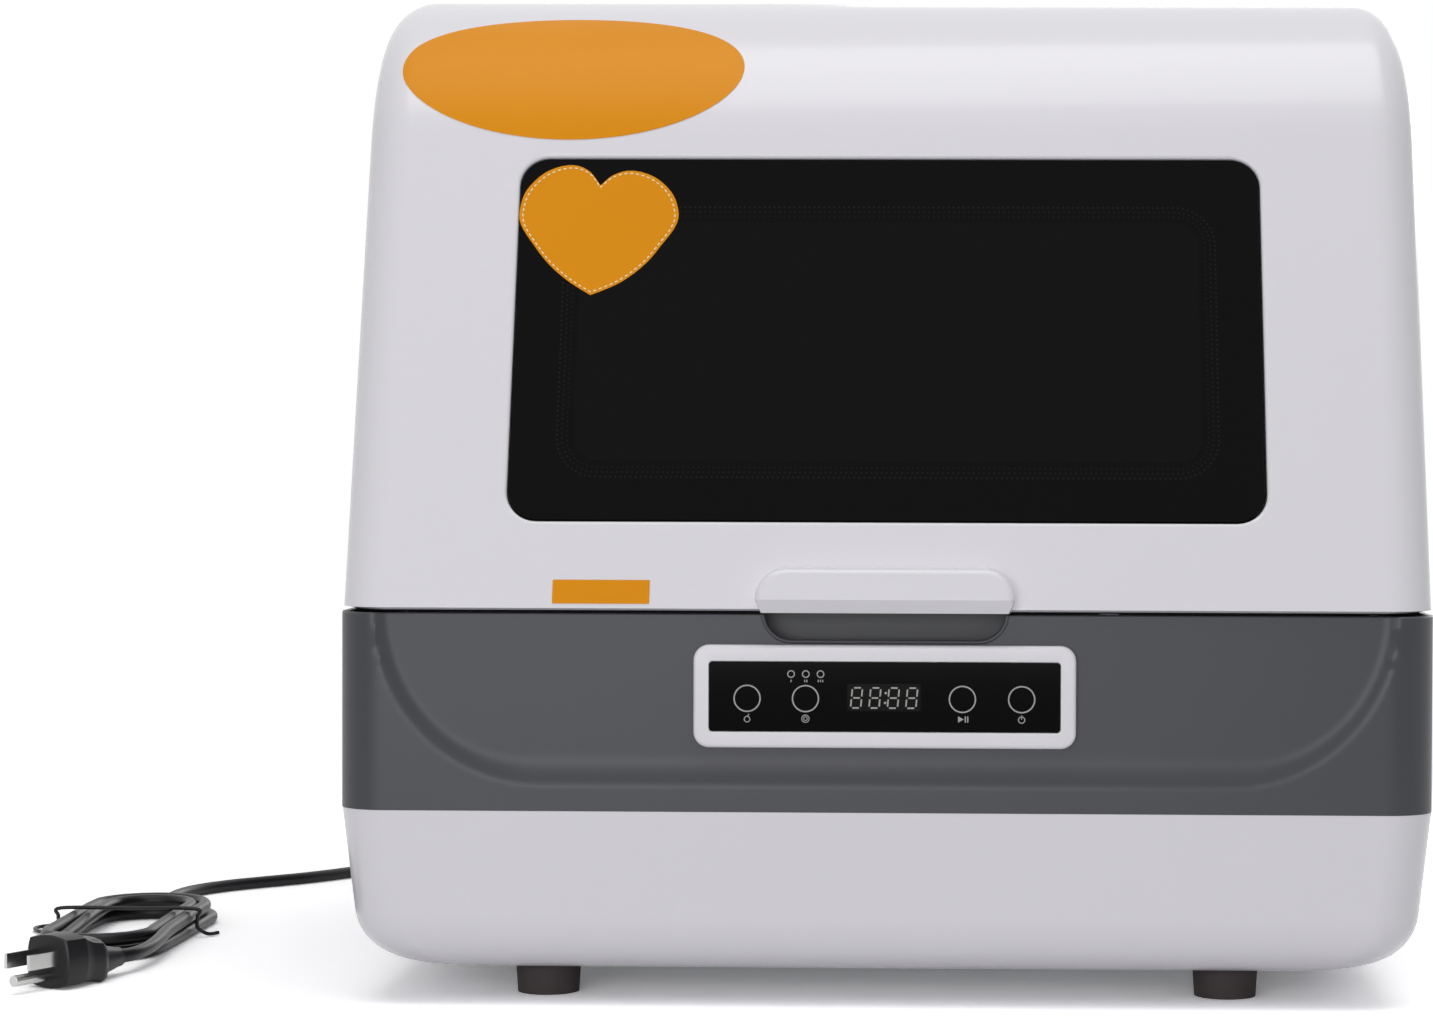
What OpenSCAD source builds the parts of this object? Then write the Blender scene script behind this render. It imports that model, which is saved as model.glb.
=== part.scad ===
// Countertop dishwasher: a hood that lifts on a rear hinge over a fixed tub, belt and base.
// Millimetres, +Z up, front faces -Y, origin on the worktop under the middle of the body.

/* [Body] */
// Width across the belt
body_w = 450; // [430:5:500]
// Depth from the belt's front face to the back
body_d = 420; // [410:5:460]
// Height from the worktop to the top
body_h = 430; // [420:5:470]
// Wall of the plastic shells
wall = 3; // [2.5:0.5:4]
// Radius of the upright corners
corner_r = 20; // [16:1:24]
// Height of the base's underside above the worktop
base_z = 15; // [13:1:18]
// Height of the seam between base and belt
belt_z = 81.5; // [78:0.5:84]
// Height of the belt's top edge
belt_top = 163; // [160:1:168]
// How far the belt stands out past base and hood
belt_proud = 0.6; // [0.4:0.1:1.5]
// Draft of the base's sides, degrees
base_draft = 7; // [5:0.5:9]
// Radius where the base's sides turn under
base_r = 26; // [24:1:32]

/* [Hood] */
// Lean of the hood's front, degrees
lean = 18; // [14:0.5:20]
// Radius where the front turns into the top
hood_r = 95; // [85:1:105]
// Radius where the top turns into the back
rear_r = 30; // [28:1:36]
// Gap of the seam under the hood
seam = 1.5; // [1:0.1:2]
// Depth of the fixed rear housing
rear_d = 100.5; // [96:0.5:110]
// Distance from the outer skin to the hood's liner
liner_gap = 14; // [13:0.5:15]
// Wall of the hood's liner
liner_t = 2; // [1.5:0.25:2.5]

/* [Window] */
// Width of the glass
window_w = 312; // [260:2:330]
// Height of the glass along the lean
window_h = 160; // [130:2:165]
// Corner radius of the glass
window_r = 12; // [6:1:20]
// Thickness of the glass
window_t = 4; // [3:0.5:4.5]
// Distance from the hood's lower edge to the glass
window_up = 38; // [34:1:44]
// How far the glass lies below the skin
window_sink = 0.8; // [0.4:0.1:1.2]

/* [Handle] */
// Width of the handle at its lip
handle_w = 108; // [90:2:130]
// Height of the handle
handle_h = 18.5; // [15:0.5:24]
// How far the lip stands out past the belt
handle_out = 8; // [5:0.5:10]
// Depth of the finger recess
recess_d = 14; // [12:0.5:15]
// Height of the finger recess
recess_h = 12; // [10:0.5:14]

/* [Control panel] */
// Depth of the belt's scooped face
scoop = 3; // [2:0.25:3.5]
// Width of the bezel
bezel_w = 156; // [140:2:180]
// Height of the bezel
bezel_h = 42; // [38:1:44]
// How far the bezel stands out of the scooped face
bezel_t = 4; // [3:0.25:5]
// Height of the bezel's centre
bezel_z = 128.9; // [126:0.5:131]
// Width of the touch glass
touch_w = 143; // [126:1:146]
// Height of the touch glass
touch_h = 28.4; // [26:0.2:30]
// Thickness of the touch glass
touch_t = 2; // [1.5:0.25:2.5]

/* [Tub] */
// Height of the tub's floor
tub_z = 98; // [96:1:102]
// Wall of the tub
tub_t = 1.5; // [1:0.25:2]
// Distance from the belt's side to the room inside the tub
tub_side = 26.5; // [26.5:0.5:32]
// Distance from the belt's front to the tub
tub_in = 26; // [25:0.5:30]
// Corner radius of the tub
tub_r = 28; // [20:1:40]
// Length of each arm of the spray arm
arm_l = 132; // [100:2:136]
// Thickness of the door seal's band
seal_w = 4.5; // [4:0.25:4.5]

/* [Hinge] */
// Radius of the hinge barrel
barrel_r = 6.5; // [6:0.1:6.8]
// Radius of the hinge pin
pin_r = 2.5; // [2:0.1:3]
// Width of each hinge arm
arm_w = 40; // [30:1:50]
// Distance from the middle to each hinge arm's centre
arm_x = 130; // [100:1:150]

/* [Rack] */
// Diameter of the rack's wires
wire = 3; // [2.4:0.2:3.6]
// Height of the rack
rack_h = 66; // [50:2:80]

/* [Feet] */
// Radius of a foot at its top
foot_r = 14; // [11:0.5:15]
// Distance from the middle to the feet, sideways
foot_x = 143; // [120:1:150]

/* [Cord] */
// Diameter of the cord
cord_d = 6; // [5:0.25:6]

/* [Hidden] */

$fn = 48;
eps = 0.01;
fit = 0.3; // clearance between parts that seat in each other
touch = 0.05; // radial clearance of a running shaft
hw = body_w / 2;
front = -(body_d - handle_out) / 2;
rear = front + body_d;
hood_z = belt_top + seam; // lower edge of the hood
split_y = rear - rear_d; // front edge of the rear housing
hood_rear = split_y - 1.5; // rear edge of the hood
front_wall = scoop + 5; // the belt's front is thick enough for the scoop
hinge_y = split_y + barrel_r;
hinge_z = body_h - barrel_r - 1.5;
flange_t = 2;
seal_in = liner_gap + 7.4; // inset of the seal's arch
plate_y = split_y + 2.5; // front face of the tub's back wall
tub_front = front + tub_in;
tub_x = hw - tub_side; // half width inside the tub
tub_rim = belt_top - 4.5; // top of the tub's rim
arm_y = (tub_front + plate_y) / 2; // centre of the spray arm
sump_y = arm_y + 84;
sump_r = 46;
pump_z = base_z + 41; // axis of the wash pump

white = "#E9E8ED";
belt_grey = "#5A5B60";
black = "#151517";
steel = "#B9BCC0";
dark = "#3A3532";

// ---------- General shapes ----------

// A rectangle with round corners, between two corners.
module round_rect(x0, y0, x1, y1, r) {
  q = max(min(r, (x1 - x0) / 2 - eps, (y1 - y0) / 2 - eps), eps);
  translate([x0 + q, y0]) square([x1 - x0 - 2 * q, y1 - y0]);
  translate([x0, y0 + q]) square([x1 - x0, y1 - y0 - 2 * q]);
  for (x = [x0 + q, x1 - q], y = [y0 + q, y1 - q]) translate([x, y]) circle(q);
}

// The plan of the body, drawn in by an inset.
module plan(inset, front_more = 0) {
  round_rect(-hw + inset, front + inset + front_more, hw - inset, rear - inset, corner_r - inset);
}

// Stands a drawing of X and Z on a wall that faces -Y, with its face at y and its depth behind it.
module on_front(y, depth) {
  translate([0, y + depth, 0]) rotate([90, 0, 0]) linear_extrude(depth) children();
}

// A bar along X.
module bar_x(x0, x1, y, z, r, n = 48) {
  translate([x0, y, z]) rotate([0, 90, 0]) cylinder(r = r, h = x1 - x0, $fn = n);
}

// A bar along Y.
module bar_y(y0, y1, x, z, r, n = 48) {
  translate([x, y0, z]) rotate([-90, 0, 0]) cylinder(r = r, h = y1 - y0, $fn = n);
}

module box(x0, y0, z0, x1, y1, z1) {
  translate([x0, y0, z0]) cube([x1 - x0, y1 - y0, z1 - z0]);
}

// ---------- Tubes along a route ----------

function unit(v) = v / norm(v);
function heading(p, i) = unit(p[min(i + 1, len(p) - 1)] - p[max(i - 1, 0)]);
function side_of(t) = let (s = cross(t, abs(t[2]) > 0.9 ? [1, 0, 0] : [0, 0, 1])) unit(s);
function carry(prev, t) = unit(prev - t * (prev * t));
function frames(p, i = 0, prev = [0, 0, 0]) = i >= len(p) ? [] :
  let (t = heading(p, i), s = i == 0 ? side_of(t) : carry(prev, t)) concat([s], frames(p, i + 1, s));
function ring(c, t, s, r, n) = let (u = cross(t, s)) [for (k = [0:n - 1])
  c + r * (cos(360 * (k + 0.5) / n) * s + sin(360 * (k + 0.5) / n) * u)];

// One closed tube of n sides along the points p.
module tube(p, r, n = 8) {
  s = frames(p);
  m = len(p);
  pts = [for (i = [0:m - 1]) each ring(p[i], heading(p, i), s[i], r, n)];
  sides = [for (i = [0:m - 2], k = [0:n - 1]) let (a = i * n + k, b = i * n + (k + 1) % n)
    each [[a, b + n, b], [a, a + n, b + n]]];
  ends = [for (k = [1:n - 2]) each [[0, k, k + 1], [(m - 1) * n, (m - 1) * n + k + 1, (m - 1) * n + k]]];
  polyhedron(points = pts, faces = [for (f = concat(sides, ends)) [f[0], f[2], f[1]]]);
}

// ---------- The body's form ----------

hood_cz = body_h - hood_r;
hood_cy = front + belt_proud + (hood_cz - hood_z) * tan(lean) + hood_r / cos(lean);
back_cy = rear - belt_proud - rear_r;
back_cz = body_h - rear_r;

// Cross-section of the body's skin: x across, y outwards, round at its two outer edges.
module slab(inset, t) {
  r = max(corner_r - inset, 1);
  w = hw - belt_proud - inset;
  translate([-w, 0]) square([2 * w, t - r]);
  translate([r - w, 0]) square([2 * (w - r), t]);
  for (x = [r - w, w - r]) translate([x, t - r]) circle(r);
}

// The body's section across, from y0 to y1 and above z0, drawn in by an inset.
module arch(inset, y0, y1, z0) {
  t = body_h - inset - z0;
  translate([0, y1, z0]) rotate([90, 0, 0]) linear_extrude(y1 - y0) slab(inset, t);
}

// One closed solid through rings of points, each counter-clockwise seen from the way they are stacked.
module loft(rings) {
  n = len(rings[0]);
  m = len(rings);
  sides = [for (i = [0:m - 2], k = [0:n - 1]) let (a = i * n + k, b = i * n + (k + 1) % n)
    each [[a, b + n, b], [a, a + n, b + n]]];
  polyhedron(points = [for (r = rings) each r], faces = concat(sides,
    [[for (k = [0:n - 1]) k], [for (k = [n - 1:-1:0]) (m - 1) * n + k]]));
}

function arc_points(cy, cz, r, a0, a1, n) = [for (i = [0:n]) let (a = a0 + (a1 - a0) * i / n)
  [cy + r * cos(a), cz + r * sin(a)]];

// Outline in Y and Z above z0: leaning front, round brow, flat top, round back.
function side_outline(i, z0) = concat(
  [[hood_cy - (hood_cz - z0) * tan(lean) - (hood_r - i) / cos(lean), z0]],
  arc_points(hood_cy, hood_cz, hood_r - i, 180 - lean, 90, 16),
  arc_points(back_cy, back_cz, max(rear_r - i, 0.5), 90, 0, 8),
  [[back_cy + max(rear_r - i, 0.5), z0]]);

// The whole upper body above z0, drawn in by an inset, with round edges at both sides.
module upper_form(inset, z0) {
  r = max(corner_r - inset, 1);
  w = hw - belt_proud - inset;
  edge = [for (a = [0:15:90]) [w - r + r * sin(a), inset + r - r * cos(a)]]; // x, and inset round the edge
  stations = concat([for (i = [len(edge) - 1:-1:0]) edge[i]], [for (e = edge) [-e[0], e[1]]]);
  loft([for (s = stations) [for (p = side_outline(s[1], z0)) [s[0], p[0], p[1]]]]);
}

module hood_form(inset, z0, y1) {
  intersection() {
    upper_form(inset, z0);
    box(-hw, front - 50, z0 - 1, hw, y1, body_h + 1);
  }
}

// Inset of the base's side at a height, and the ring of points round the base there.
function base_side(z, inset) = belt_proud + (belt_z - z) * tan(base_draft) + inset / cos(base_draft);
function base_level(a, inset) = let (zc = base_z + base_r, r = base_r - inset,
    c = base_side(zc, 0) + base_r / cos(base_draft)) [c - r * sin(a), zc - r * cos(a)];
function base_ring(level, inset) = let (d = level[0], q = corner_r + 0.35 * d - inset,
    cx = hw - d - q, y0 = front + d + q, y1 = rear - d - q)
  [for (c = [[cx, y1, 0], [-cx, y1, 90], [-cx, y0, 180], [cx, y0, 270]], a = [0:15:90])
    [c[0] + q * cos(c[2] + a), c[1] + q * sin(c[2] + a), level[1]]];

// The bowl of the base, from its floor to top_z, drawn in by an inset.
module base_form(inset, top_z) {
  levels = concat([for (a = [0, 12, 24, 36, 48, 60, 72, 90 - base_draft]) base_level(a, inset)],
    [[base_side(top_z, inset), top_z]]);
  loft([for (l = levels) base_ring(l, inset)]);
}

// ---------- Base and feet ----------

foot_y = [front + 51, rear - 51];
service = [150, 130]; // half sizes of the opening under the base
module at_feet() { for (x = [-foot_x, foot_x], y = foot_y) translate([x, y, 0]) children(); }

module base_shell() {
  color(white) difference() {
    union() {
      difference() {
        base_form(0, belt_z);
        base_form(wall, belt_z + 1);
      }
      at_feet() translate([0, 0, base_z + wall - eps]) cylinder(r = 7, h = 12);
      bar_y(rear - 20, cord_exit[1], cord_exit[0], cord_exit[2], 11);
    }
    bar_y(rear - 30, rear, cord_exit[0], cord_exit[2], 6.6);
    at_feet() translate([0, 0, base_z - 1]) cylinder(r = 1.8, h = 30);
    box(-service[0] + 8, -service[1] + 8, base_z - 1, service[0] - 8, service[1] - 8, base_z + wall + 1);
    for (s = [-1, 1], i = [0:5]) translate([s * hw, front + 60 + 9 * i, belt_z - 15])
      cube([40, 4, 14], center = true);
  }
}

module bottom_plate() {
  color(steel) translate([0, 0, base_z + wall]) linear_extrude(1.2) difference() {
    round_rect(-service[0], -service[1], service[0], service[1], 6);
    for (x = [-110:20:110], y = [-60, 60]) translate([x, y]) round_rect(-3, -28, 3, 28, 3);
  }
}

module feet() {
  color(dark) at_feet() difference() {
    cylinder(r1 = foot_r - 1, r2 = foot_r, h = base_z);
    translate([0, 0, -1]) cylinder(r = 5, h = 6);
    cylinder(r = 2, h = base_z + 1);
  }
}

module foot_screws() {
  color(steel) at_feet() {
    translate([0, 0, 2.4]) cylinder(r = 3.6, h = 2.6);
    translate([0, 0, 5]) cylinder(r = 1.75, h = base_z + 5);
  }
}

// ---------- Belt ----------

// The scooped face: its bottom corners are quarter ellipses, flat at the middle, open at the top.
function scoop_line(x0, a, b, top) = [for (t = [0:10:90])
  [x0 + a * sin(t), top - b * cos(t)]];
scoop_side = hw - 21;
scoop_in = scoop_line(scoop_side - 54, 54, belt_top - bezel_z + 26, belt_top + 2);
scoop_out = scoop_line(scoop_side - 64, 68, belt_top - bezel_z + 38.3, belt_top + 2);

module scoop_cut() {
  half = len(scoop_in);
  loop_in = concat(scoop_in, [for (i = [half - 1:-1:0]) [-scoop_in[i][0], scoop_in[i][1]]]);
  loop_out = concat(scoop_out, [for (i = [half - 1:-1:0]) [-scoop_out[i][0], scoop_out[i][1]]]);
  n = 2 * half;
  pts = concat([for (p = loop_out) [p[0], front - 1, p[1]]], [for (p = loop_out) [p[0], front, p[1]]],
    [for (p = loop_in) [p[0], front + scoop, p[1]]]);
  sides = [for (i = [0:1], k = [0:n - 1]) let (a = i * n + k, b = i * n + (k + 1) % n)
    each [[a, b, b + n], [a, b + n, a + n]]];
  polyhedron(points = pts, faces = concat(sides,
    [[for (k = [n - 1:-1:0]) k], [for (k = [0:n - 1]) 2 * n + k]]));
}

recess_w = handle_w - 8;
pocket_y = front + scoop + recess_d; // back of the finger recess
port_x = [hw - 133, hw - 67]; // water inlet and drain
port_z = belt_z + 38;
port_y = rear - 24; // face of the service recess
cord_exit = [50 - hw, rear - 3.2, 35]; // middle of the boss that the cord leaves through

module belt_housing() {
  color(belt_grey) difference() {
    union() {
      difference() {
        translate([0, 0, belt_z]) linear_extrude(belt_top - belt_z) plan(0);
        translate([0, 0, belt_z - 1]) linear_extrude(belt_top - belt_z + 2) plan(wall, front_wall - wall);
      }
      translate([0, 0, tub_rim - 4.5]) linear_extrude(3) difference() { // ledge that carries the tub
        plan(wall - 1);
        round_rect(-tub_x - tub_t - fit, tub_front - fit, tub_x + tub_t + fit, plate_y + 6, tub_r);
        translate([-hw, split_y + 5]) square([body_w, body_d]);
      }
      box(-recess_w / 2 - 2.5, front + front_wall - 1, belt_top - recess_h - 2.5,
        recess_w / 2 + 2.5, pocket_y + 2.5, belt_top);
      box(port_x[0] - 30, port_y - wall, port_z - 28, port_x[1] + 28, rear - wall + 1, port_z + 28);
    }
    scoop_cut();
    on_front(front - 5, 5 + scoop + recess_d)
      round_rect(-recess_w / 2, belt_top - recess_h, recess_w / 2, belt_top + 20, 7);
    box(port_x[0] - 27, port_y, port_z - 25, port_x[1] + 25, rear + 1, port_z + 25);
    bar_y(port_y - 10, rear, port_x[0], port_z, 14);
    bar_y(port_y - 10, rear, port_x[1], port_z, 10);
    on_front(front, front_wall + 1) round_rect(-52, bezel_z - 10, 52, bezel_z + 10, 2); // window behind the display
    for (x = [-bezel_w / 2 + 8, bezel_w / 2 - 8]) bar_y(front, front + 20, x, bezel_z, 1.6);
    box(latch_x - 6, front + front_wall, tub_rim - 6, latch_x + 6, tub_front - 6.5, tub_rim);
  }
}

// ---------- Rear housing ----------

trough_z = hinge_z - barrel_r - 2; // floor of the trough that the barrel lies in
trough_y = split_y + 14.5;
cover_x = hw - 65; // half width of the opening behind
cover_z = [belt_top + 32, body_h - 65];
cover_h = cover_z[1] - cover_z[0];
screw_x = [75 - hw, 165 - hw];
screw_z = [cover_z[0] + 8, cover_z[0] + 88];
module rear_housing() {
  side = arm_x + arm_w / 2 + 0.5;
  color(white) difference() {
    union() {
      difference() {
        union() {
          difference() {
            intersection() {
              upper_form(0, belt_top);
              box(-hw, split_y, belt_top - 1, hw, rear, body_h + 1);
            }
            upper_form(wall, belt_top - 1);
          }
          intersection() {
            upper_form(wall - 1, trough_z - 2.5);
            box(-hw, split_y, trough_z - 3, hw, trough_y + wall, body_h);
          }
        }
        box(-hw, split_y - 1, trough_z, hw, trough_y, body_h + 1);
      }
      for (s = [-1, 1]) translate([s * (hw - 13), plate_y + tub_t + 1.5, (belt_top + trough_z) / 2])
        cube([20, 3, trough_z - belt_top - 3], center = true);
      knuckle(-arm_x + arm_w / 2 + 0.5, arm_x - arm_w / 2 - 0.5);
      knuckle(side, hw - 15);
      knuckle(15 - hw, -side);
    }
    for (s = [-1, 1]) bar_x(s * arm_x - 31, s * arm_x + 31, hinge_y, hinge_z, pin_r + 0.02);
    on_front(rear - wall - 3, wall + 5) round_rect(-cover_x, cover_z[0], cover_x, cover_z[1], 8);
  }
}

module knuckle(x0, x1) {
  bar_x(x0, x1, hinge_y, hinge_z, barrel_r);
  box(x0, hinge_y, trough_z - 1, x1, trough_y + 1, hinge_z - 2);
}

module rear_cover() {
  y = rear - belt_proud - wall - 2.5;
  color(belt_grey) difference() {
    union() {
      on_front(y, 2.5) round_rect(-cover_x - 10, cover_z[0] - 10, cover_x + 10, cover_z[1] + 10, 6);
      for (x = screw_x, z = screw_z) bar_y(y - 8, y + 1, x, z, 4);
    }
    for (x = [185 - hw:12:hw - 97], z = [cover_z[0] + 0.165 * cover_h, cover_z[0] + 0.606 * cover_h]) on_front(y - 1, 5)
      round_rect(x - 2.5, z - 0.13 * cover_h, x + 2.5, z + 0.13 * cover_h, 2.4);
    for (x = screw_x, z = screw_z) bar_y(y - 9, y + 1, x, z, 1.3);
  }
}

board_y = rear - belt_proud - wall - 2.5 - 8 - 1.6;

module cover_screws() {
  y = board_y;
  color(steel) for (x = screw_x, z = screw_z) {
    bar_y(y - 2, y, x, z, 3);
    bar_y(y - eps, y + 7, x, z, 1.25);
  }
}

module power_board() {
  x0 = screw_x[0] - 8;
  z0 = screw_z[0] - 8;
  color("#1F5B3A") difference() {
    union() {
      box(x0, board_y, z0, x0 + 106, board_y + 1.6, z0 + 96);
      box(x0 + 18, board_y - 26, z0 + 28, x0 + 46, board_y, z0 + 64);
      box(x0 + 58, board_y - 14, z0 + 20, x0 + 74, board_y, z0 + 44);
      for (x = [x0 + 60, x0 + 78]) bar_y(board_y - 22, board_y + eps, x, z0 + 68, 7);
    }
    for (x = screw_x, z = screw_z) bar_y(board_y - 5, board_y + 5, x, z, 1.35);
  }
}

// ---------- Tub ----------

plate_x = hw - belt_proud - wall - 0.6;
module tub_plan(grow) {
  round_rect(-tub_x - grow, tub_front + tub_t - grow, tub_x + grow, plate_y + grow, tub_r + grow);
}

module tub() {
  color(steel) difference() {
    union() {
      translate([0, 0, tub_z - tub_t]) linear_extrude(tub_rim - tub_z + tub_t) tub_plan(tub_t);
      translate([0, 0, tub_rim - 1.5]) linear_extrude(1.5) intersection() {
        round_rect(-tub_x - 8, tub_front - 6, tub_x + 8, plate_y + 30, tub_r + 6);
        translate([-hw, front]) square([body_w, plate_y - front]);
      }
      box(-plate_x, plate_y, tub_rim - 1.5, plate_x, plate_y + tub_t, trough_z - 2.6);
    }
    difference() { // the room inside
      translate([0, 0, tub_z]) linear_extrude(tub_rim - tub_z + 1) tub_plan(0);
      box(-hw, plate_y, 0, hw, rear, body_h);
    }
    translate([0, arm_y, tub_z - 5]) cylinder(r = 9.1, h = 10);
    translate([0, sump_y, tub_z - 5]) cylinder(r = sump_r - 4, h = 10);
    for (x = [-8, 8]) translate([x, arm_y - heater_r * cos(heater_gap), tub_z - 5]) cylinder(r = 3.7, h = 10);
    bar_y(plate_y - 5, plate_y + 5, fan_x, fan_z + 28, 12); // warm air comes in here
    bar_y(plate_y - 5, plate_y + 5, port_x[0], belt_top + 40, 6); // water comes in here
  }
}

module door_seal() {
  color("#6E7074") union() {
    translate([0, 0, tub_rim]) linear_extrude(hood_z - fit - tub_rim) difference() {
      round_rect(-tub_x - seal_w, tub_front + tub_t - seal_w, tub_x + seal_w, plate_y + 60, tub_r);
      round_rect(-tub_x, tub_front + tub_t, tub_x, plate_y + 60, tub_r);
      translate([-hw, plate_y]) square([body_w, body_d]);
    }
    difference() {
      arch(seal_in, hood_rear + fit, plate_y, tub_rim);
      arch(seal_in + seal_w, hood_rear, plate_y + 1, tub_rim - 1);
    }
  }
}

// ---------- Water path ----------

module sump() {
  top = tub_z - tub_t;
  color("#2B2C2F") difference() {
    union() {
      translate([0, sump_y, pump_z - 12]) cylinder(r = sump_r, h = top - pump_z + 12);
      translate([0, sump_y, top - 3]) cylinder(r = sump_r + 5, h = 3);
      bar_x(sump_r - 3, drain_at[0], sump_y, drain_at[2], 9.5);
      bar_y(sump_y - sump_r - 5, sump_y - sump_r + 3, -4, pump_z, 9.5);
    }
    translate([0, sump_y, pump_z - 9]) cylinder(r = sump_r - 4, h = top);
    bar_x(sump_r - 10, drain_at[0] + 1, sump_y, drain_at[2], 7);
    bar_y(sump_y - sump_r - 6, sump_y - sump_r + 10, -4, pump_z, 7);
  }
}

module coarse_filter() {
  color("#C9CBCE") translate([0, sump_y, tub_z]) difference() {
    cylinder(r = sump_r + 3, h = 1.6);
    translate([0, 0, -1]) cylinder(r = 21, h = 5);
    for (q = [0:1], a = [0:15:359]) rotate(a + 7.5 * q) translate([28.5 + 9.5 * q, 0, -1]) cylinder(r = 2.2, h = 4);
  }
}

module fine_filter() {
  color("#8C9094") translate([0, sump_y, 0]) {
    difference() {
      translate([0, 0, pump_z - 8]) cylinder(r = 20.6, h = tub_z + 6 - pump_z + 8);
      translate([0, 0, pump_z - 6]) cylinder(r = 18.6, h = 100);
      for (a = [0:20:159], z = [0:3]) rotate(a) translate([0, 0, pump_z + 2 + 9 * z]) cube([60, 2.2, 6], center = true);
    }
    difference() {
      translate([0, 0, tub_z + 1.6]) cylinder(r = 24, h = 2);
      cylinder(r = 19, h = 200);
    }
    translate([-19, -1.5, tub_z + 2]) cube([38, 3, 4]);
  }
}

arm_z = tub_z + 10; // underside of the spray arm
post_top = arm_z + 12.3;

module spray_post() {
  color("#2B2C2F") translate([0, arm_y, 0]) difference() {
    rotate_extrude() polygon([[6, pump_z + 30], [9, pump_z + 30], [9, tub_z], [20, tub_z], [20, tub_z + 3],
      [12, tub_z + 3], [12, arm_z - fit], [8, arm_z - fit], [8, post_top], [2, post_top], [2, arm_z + 7],
      [6, arm_z + 7]]);
    for (a = [0:60:359]) rotate(a) translate([4, 0, arm_z + 3.5]) rotate([0, 90, 0]) cylinder(r = 1.9, h = 8);
  }
}

// The arm: a hub on the post and two tapered blades whose tips turn, with rows of jets.
module spray_arm() {
  color("#D7D9DC") translate([0, arm_y, arm_z]) difference() {
    union() {
      cylinder(r = 14, h = 12);
      for (a = [0, 180]) rotate(a) {
        linear_extrude(7.5) union() {
          polygon([[0, -13], [arm_l - 10, -9], [arm_l - 10, 9], [0, 13]]);
          translate([arm_l - 10, 0]) circle(9);
        }
        translate([22, -1.5, 7.4]) cube([arm_l - 34, 3, 1.8]);
      }
    }
    translate([0, 0, -1]) cylinder(r = 8 + touch, h = 20);
    for (a = [0, 180], i = [0:5]) rotate(a) translate([arm_l - 20 - 17 * i, 4.4, 2]) cylinder(r = 1.3, h = 10);
    for (a = [0, 180]) rotate(a) translate([arm_l - 8, -4, 2]) cylinder(r = 1.6, h = 10);
    for (a = [0, 180], s = [0, 1]) rotate(a) mirror([0, s, 0]) translate([0, 0, 1.5]) linear_extrude(4)
      polygon([[6, 1], [arm_l - 14, 1], [arm_l - 14, 6.5], [6, 10]]);
  }
}

module spray_cap() {
  color("#2B2C2F") translate([0, arm_y, 0]) {
    translate([0, 0, post_top]) cylinder(r = 11, h = 4);
    translate([0, 0, post_top - 4.5]) cylinder(r = 1.95, h = 5);
  }
}

heater_r = 52;
heater_gap = asin(8 / heater_r); // half the angle between the ends of the ring
module heater() {
  z = tub_z + 5;
  color(steel) translate([0, arm_y, 0]) {
    translate([0, 0, z]) rotate([0, 0, heater_gap - 90]) rotate_extrude(angle = 360 - 2 * heater_gap)
      translate([heater_r, 0]) circle(3);
    for (x = [-8, 8]) translate([x, -heater_r * cos(heater_gap), tub_z - 24]) cylinder(r = 3.6, h = z - tub_z + 27.4);
  }
}

// A centrifugal pump along +X from its front face at the origin: volute, motor and a bore for the shaft.
module pump_body(r, depth, motor_r, motor_l, stand) {
  difference() {
    union() {
      rotate([0, -90, 0]) cylinder(r = r + 3, h = depth + 4);
      translate([-depth - 4 + eps, 0, 0]) rotate([0, -90, 0]) cylinder(r = motor_r, h = motor_l);
      translate([-depth - 4 - motor_l + 6, -motor_r + 6, -stand]) cube([motor_l - 20, 2 * motor_r - 12, stand]);
    }
    translate([-2, 0, 0]) rotate([0, -90, 0]) cylinder(r = r, h = depth);
    rotate([0, -90, 0]) translate([0, 0, -1]) cylinder(r = 7, h = 10);
    translate([-depth, 0, 0]) rotate([0, -90, 0]) cylinder(r = 3 + touch, h = 22);
  }
}

// Its wheel: a back plate with curved vanes on a shaft.
module pump_wheel(r, depth) {
  translate([-depth + 1, 0, 0]) rotate([0, 90, 0]) {
    translate([0, 0, -1]) cylinder(r = r - 2, h = 2);
    translate([0, 0, -18]) cylinder(r = 3, h = 22);
    for (a = [0:60:359]) rotate(a) translate([0, 0, 1 - eps]) linear_extrude(depth - 7) intersection() {
      difference() {
        translate([r / 2, r * 0.35]) circle(r * 0.62);
        translate([r / 2, r * 0.35]) circle(r * 0.62 - 1.6);
      }
      difference() {
        circle(r - 3);
        circle(7.5);
        translate([-r, r * 0.1]) square([2 * r, r]);
      }
    }
  }
}

plate_top = base_z + wall + 1.2; // top of the bottom plate
wash_at = [-58, arm_y, pump_z];
drain_at = [62, sump_y, pump_z - 2];
module wash_pump() {
  color("#2B2C2F") translate(wash_at) difference() {
    pump_body(28, 20, 26, 64, wash_at[2] - plate_top);
    translate([-6, 0, 20]) rotate([0, 90, 0]) cylinder(r = 6, h = 10);
  }
}
module wash_impeller() { color("#D7D9DC") translate(wash_at) pump_wheel(28, 20); }
module drain_pump() {
  color("#2B2C2F") translate(drain_at) mirror([1, 0, 0]) difference() {
    union() {
      pump_body(20, 16, 20, 40, drain_at[2] - plate_top);
      bar_y(21, 26, -12, 0, 7);
    }
    bar_y(15, 27, -12, 0, 5);
  }
}
module drain_impeller() { color("#D7D9DC") translate(drain_at) mirror([1, 0, 0]) pump_wheel(20, 16); }

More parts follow.
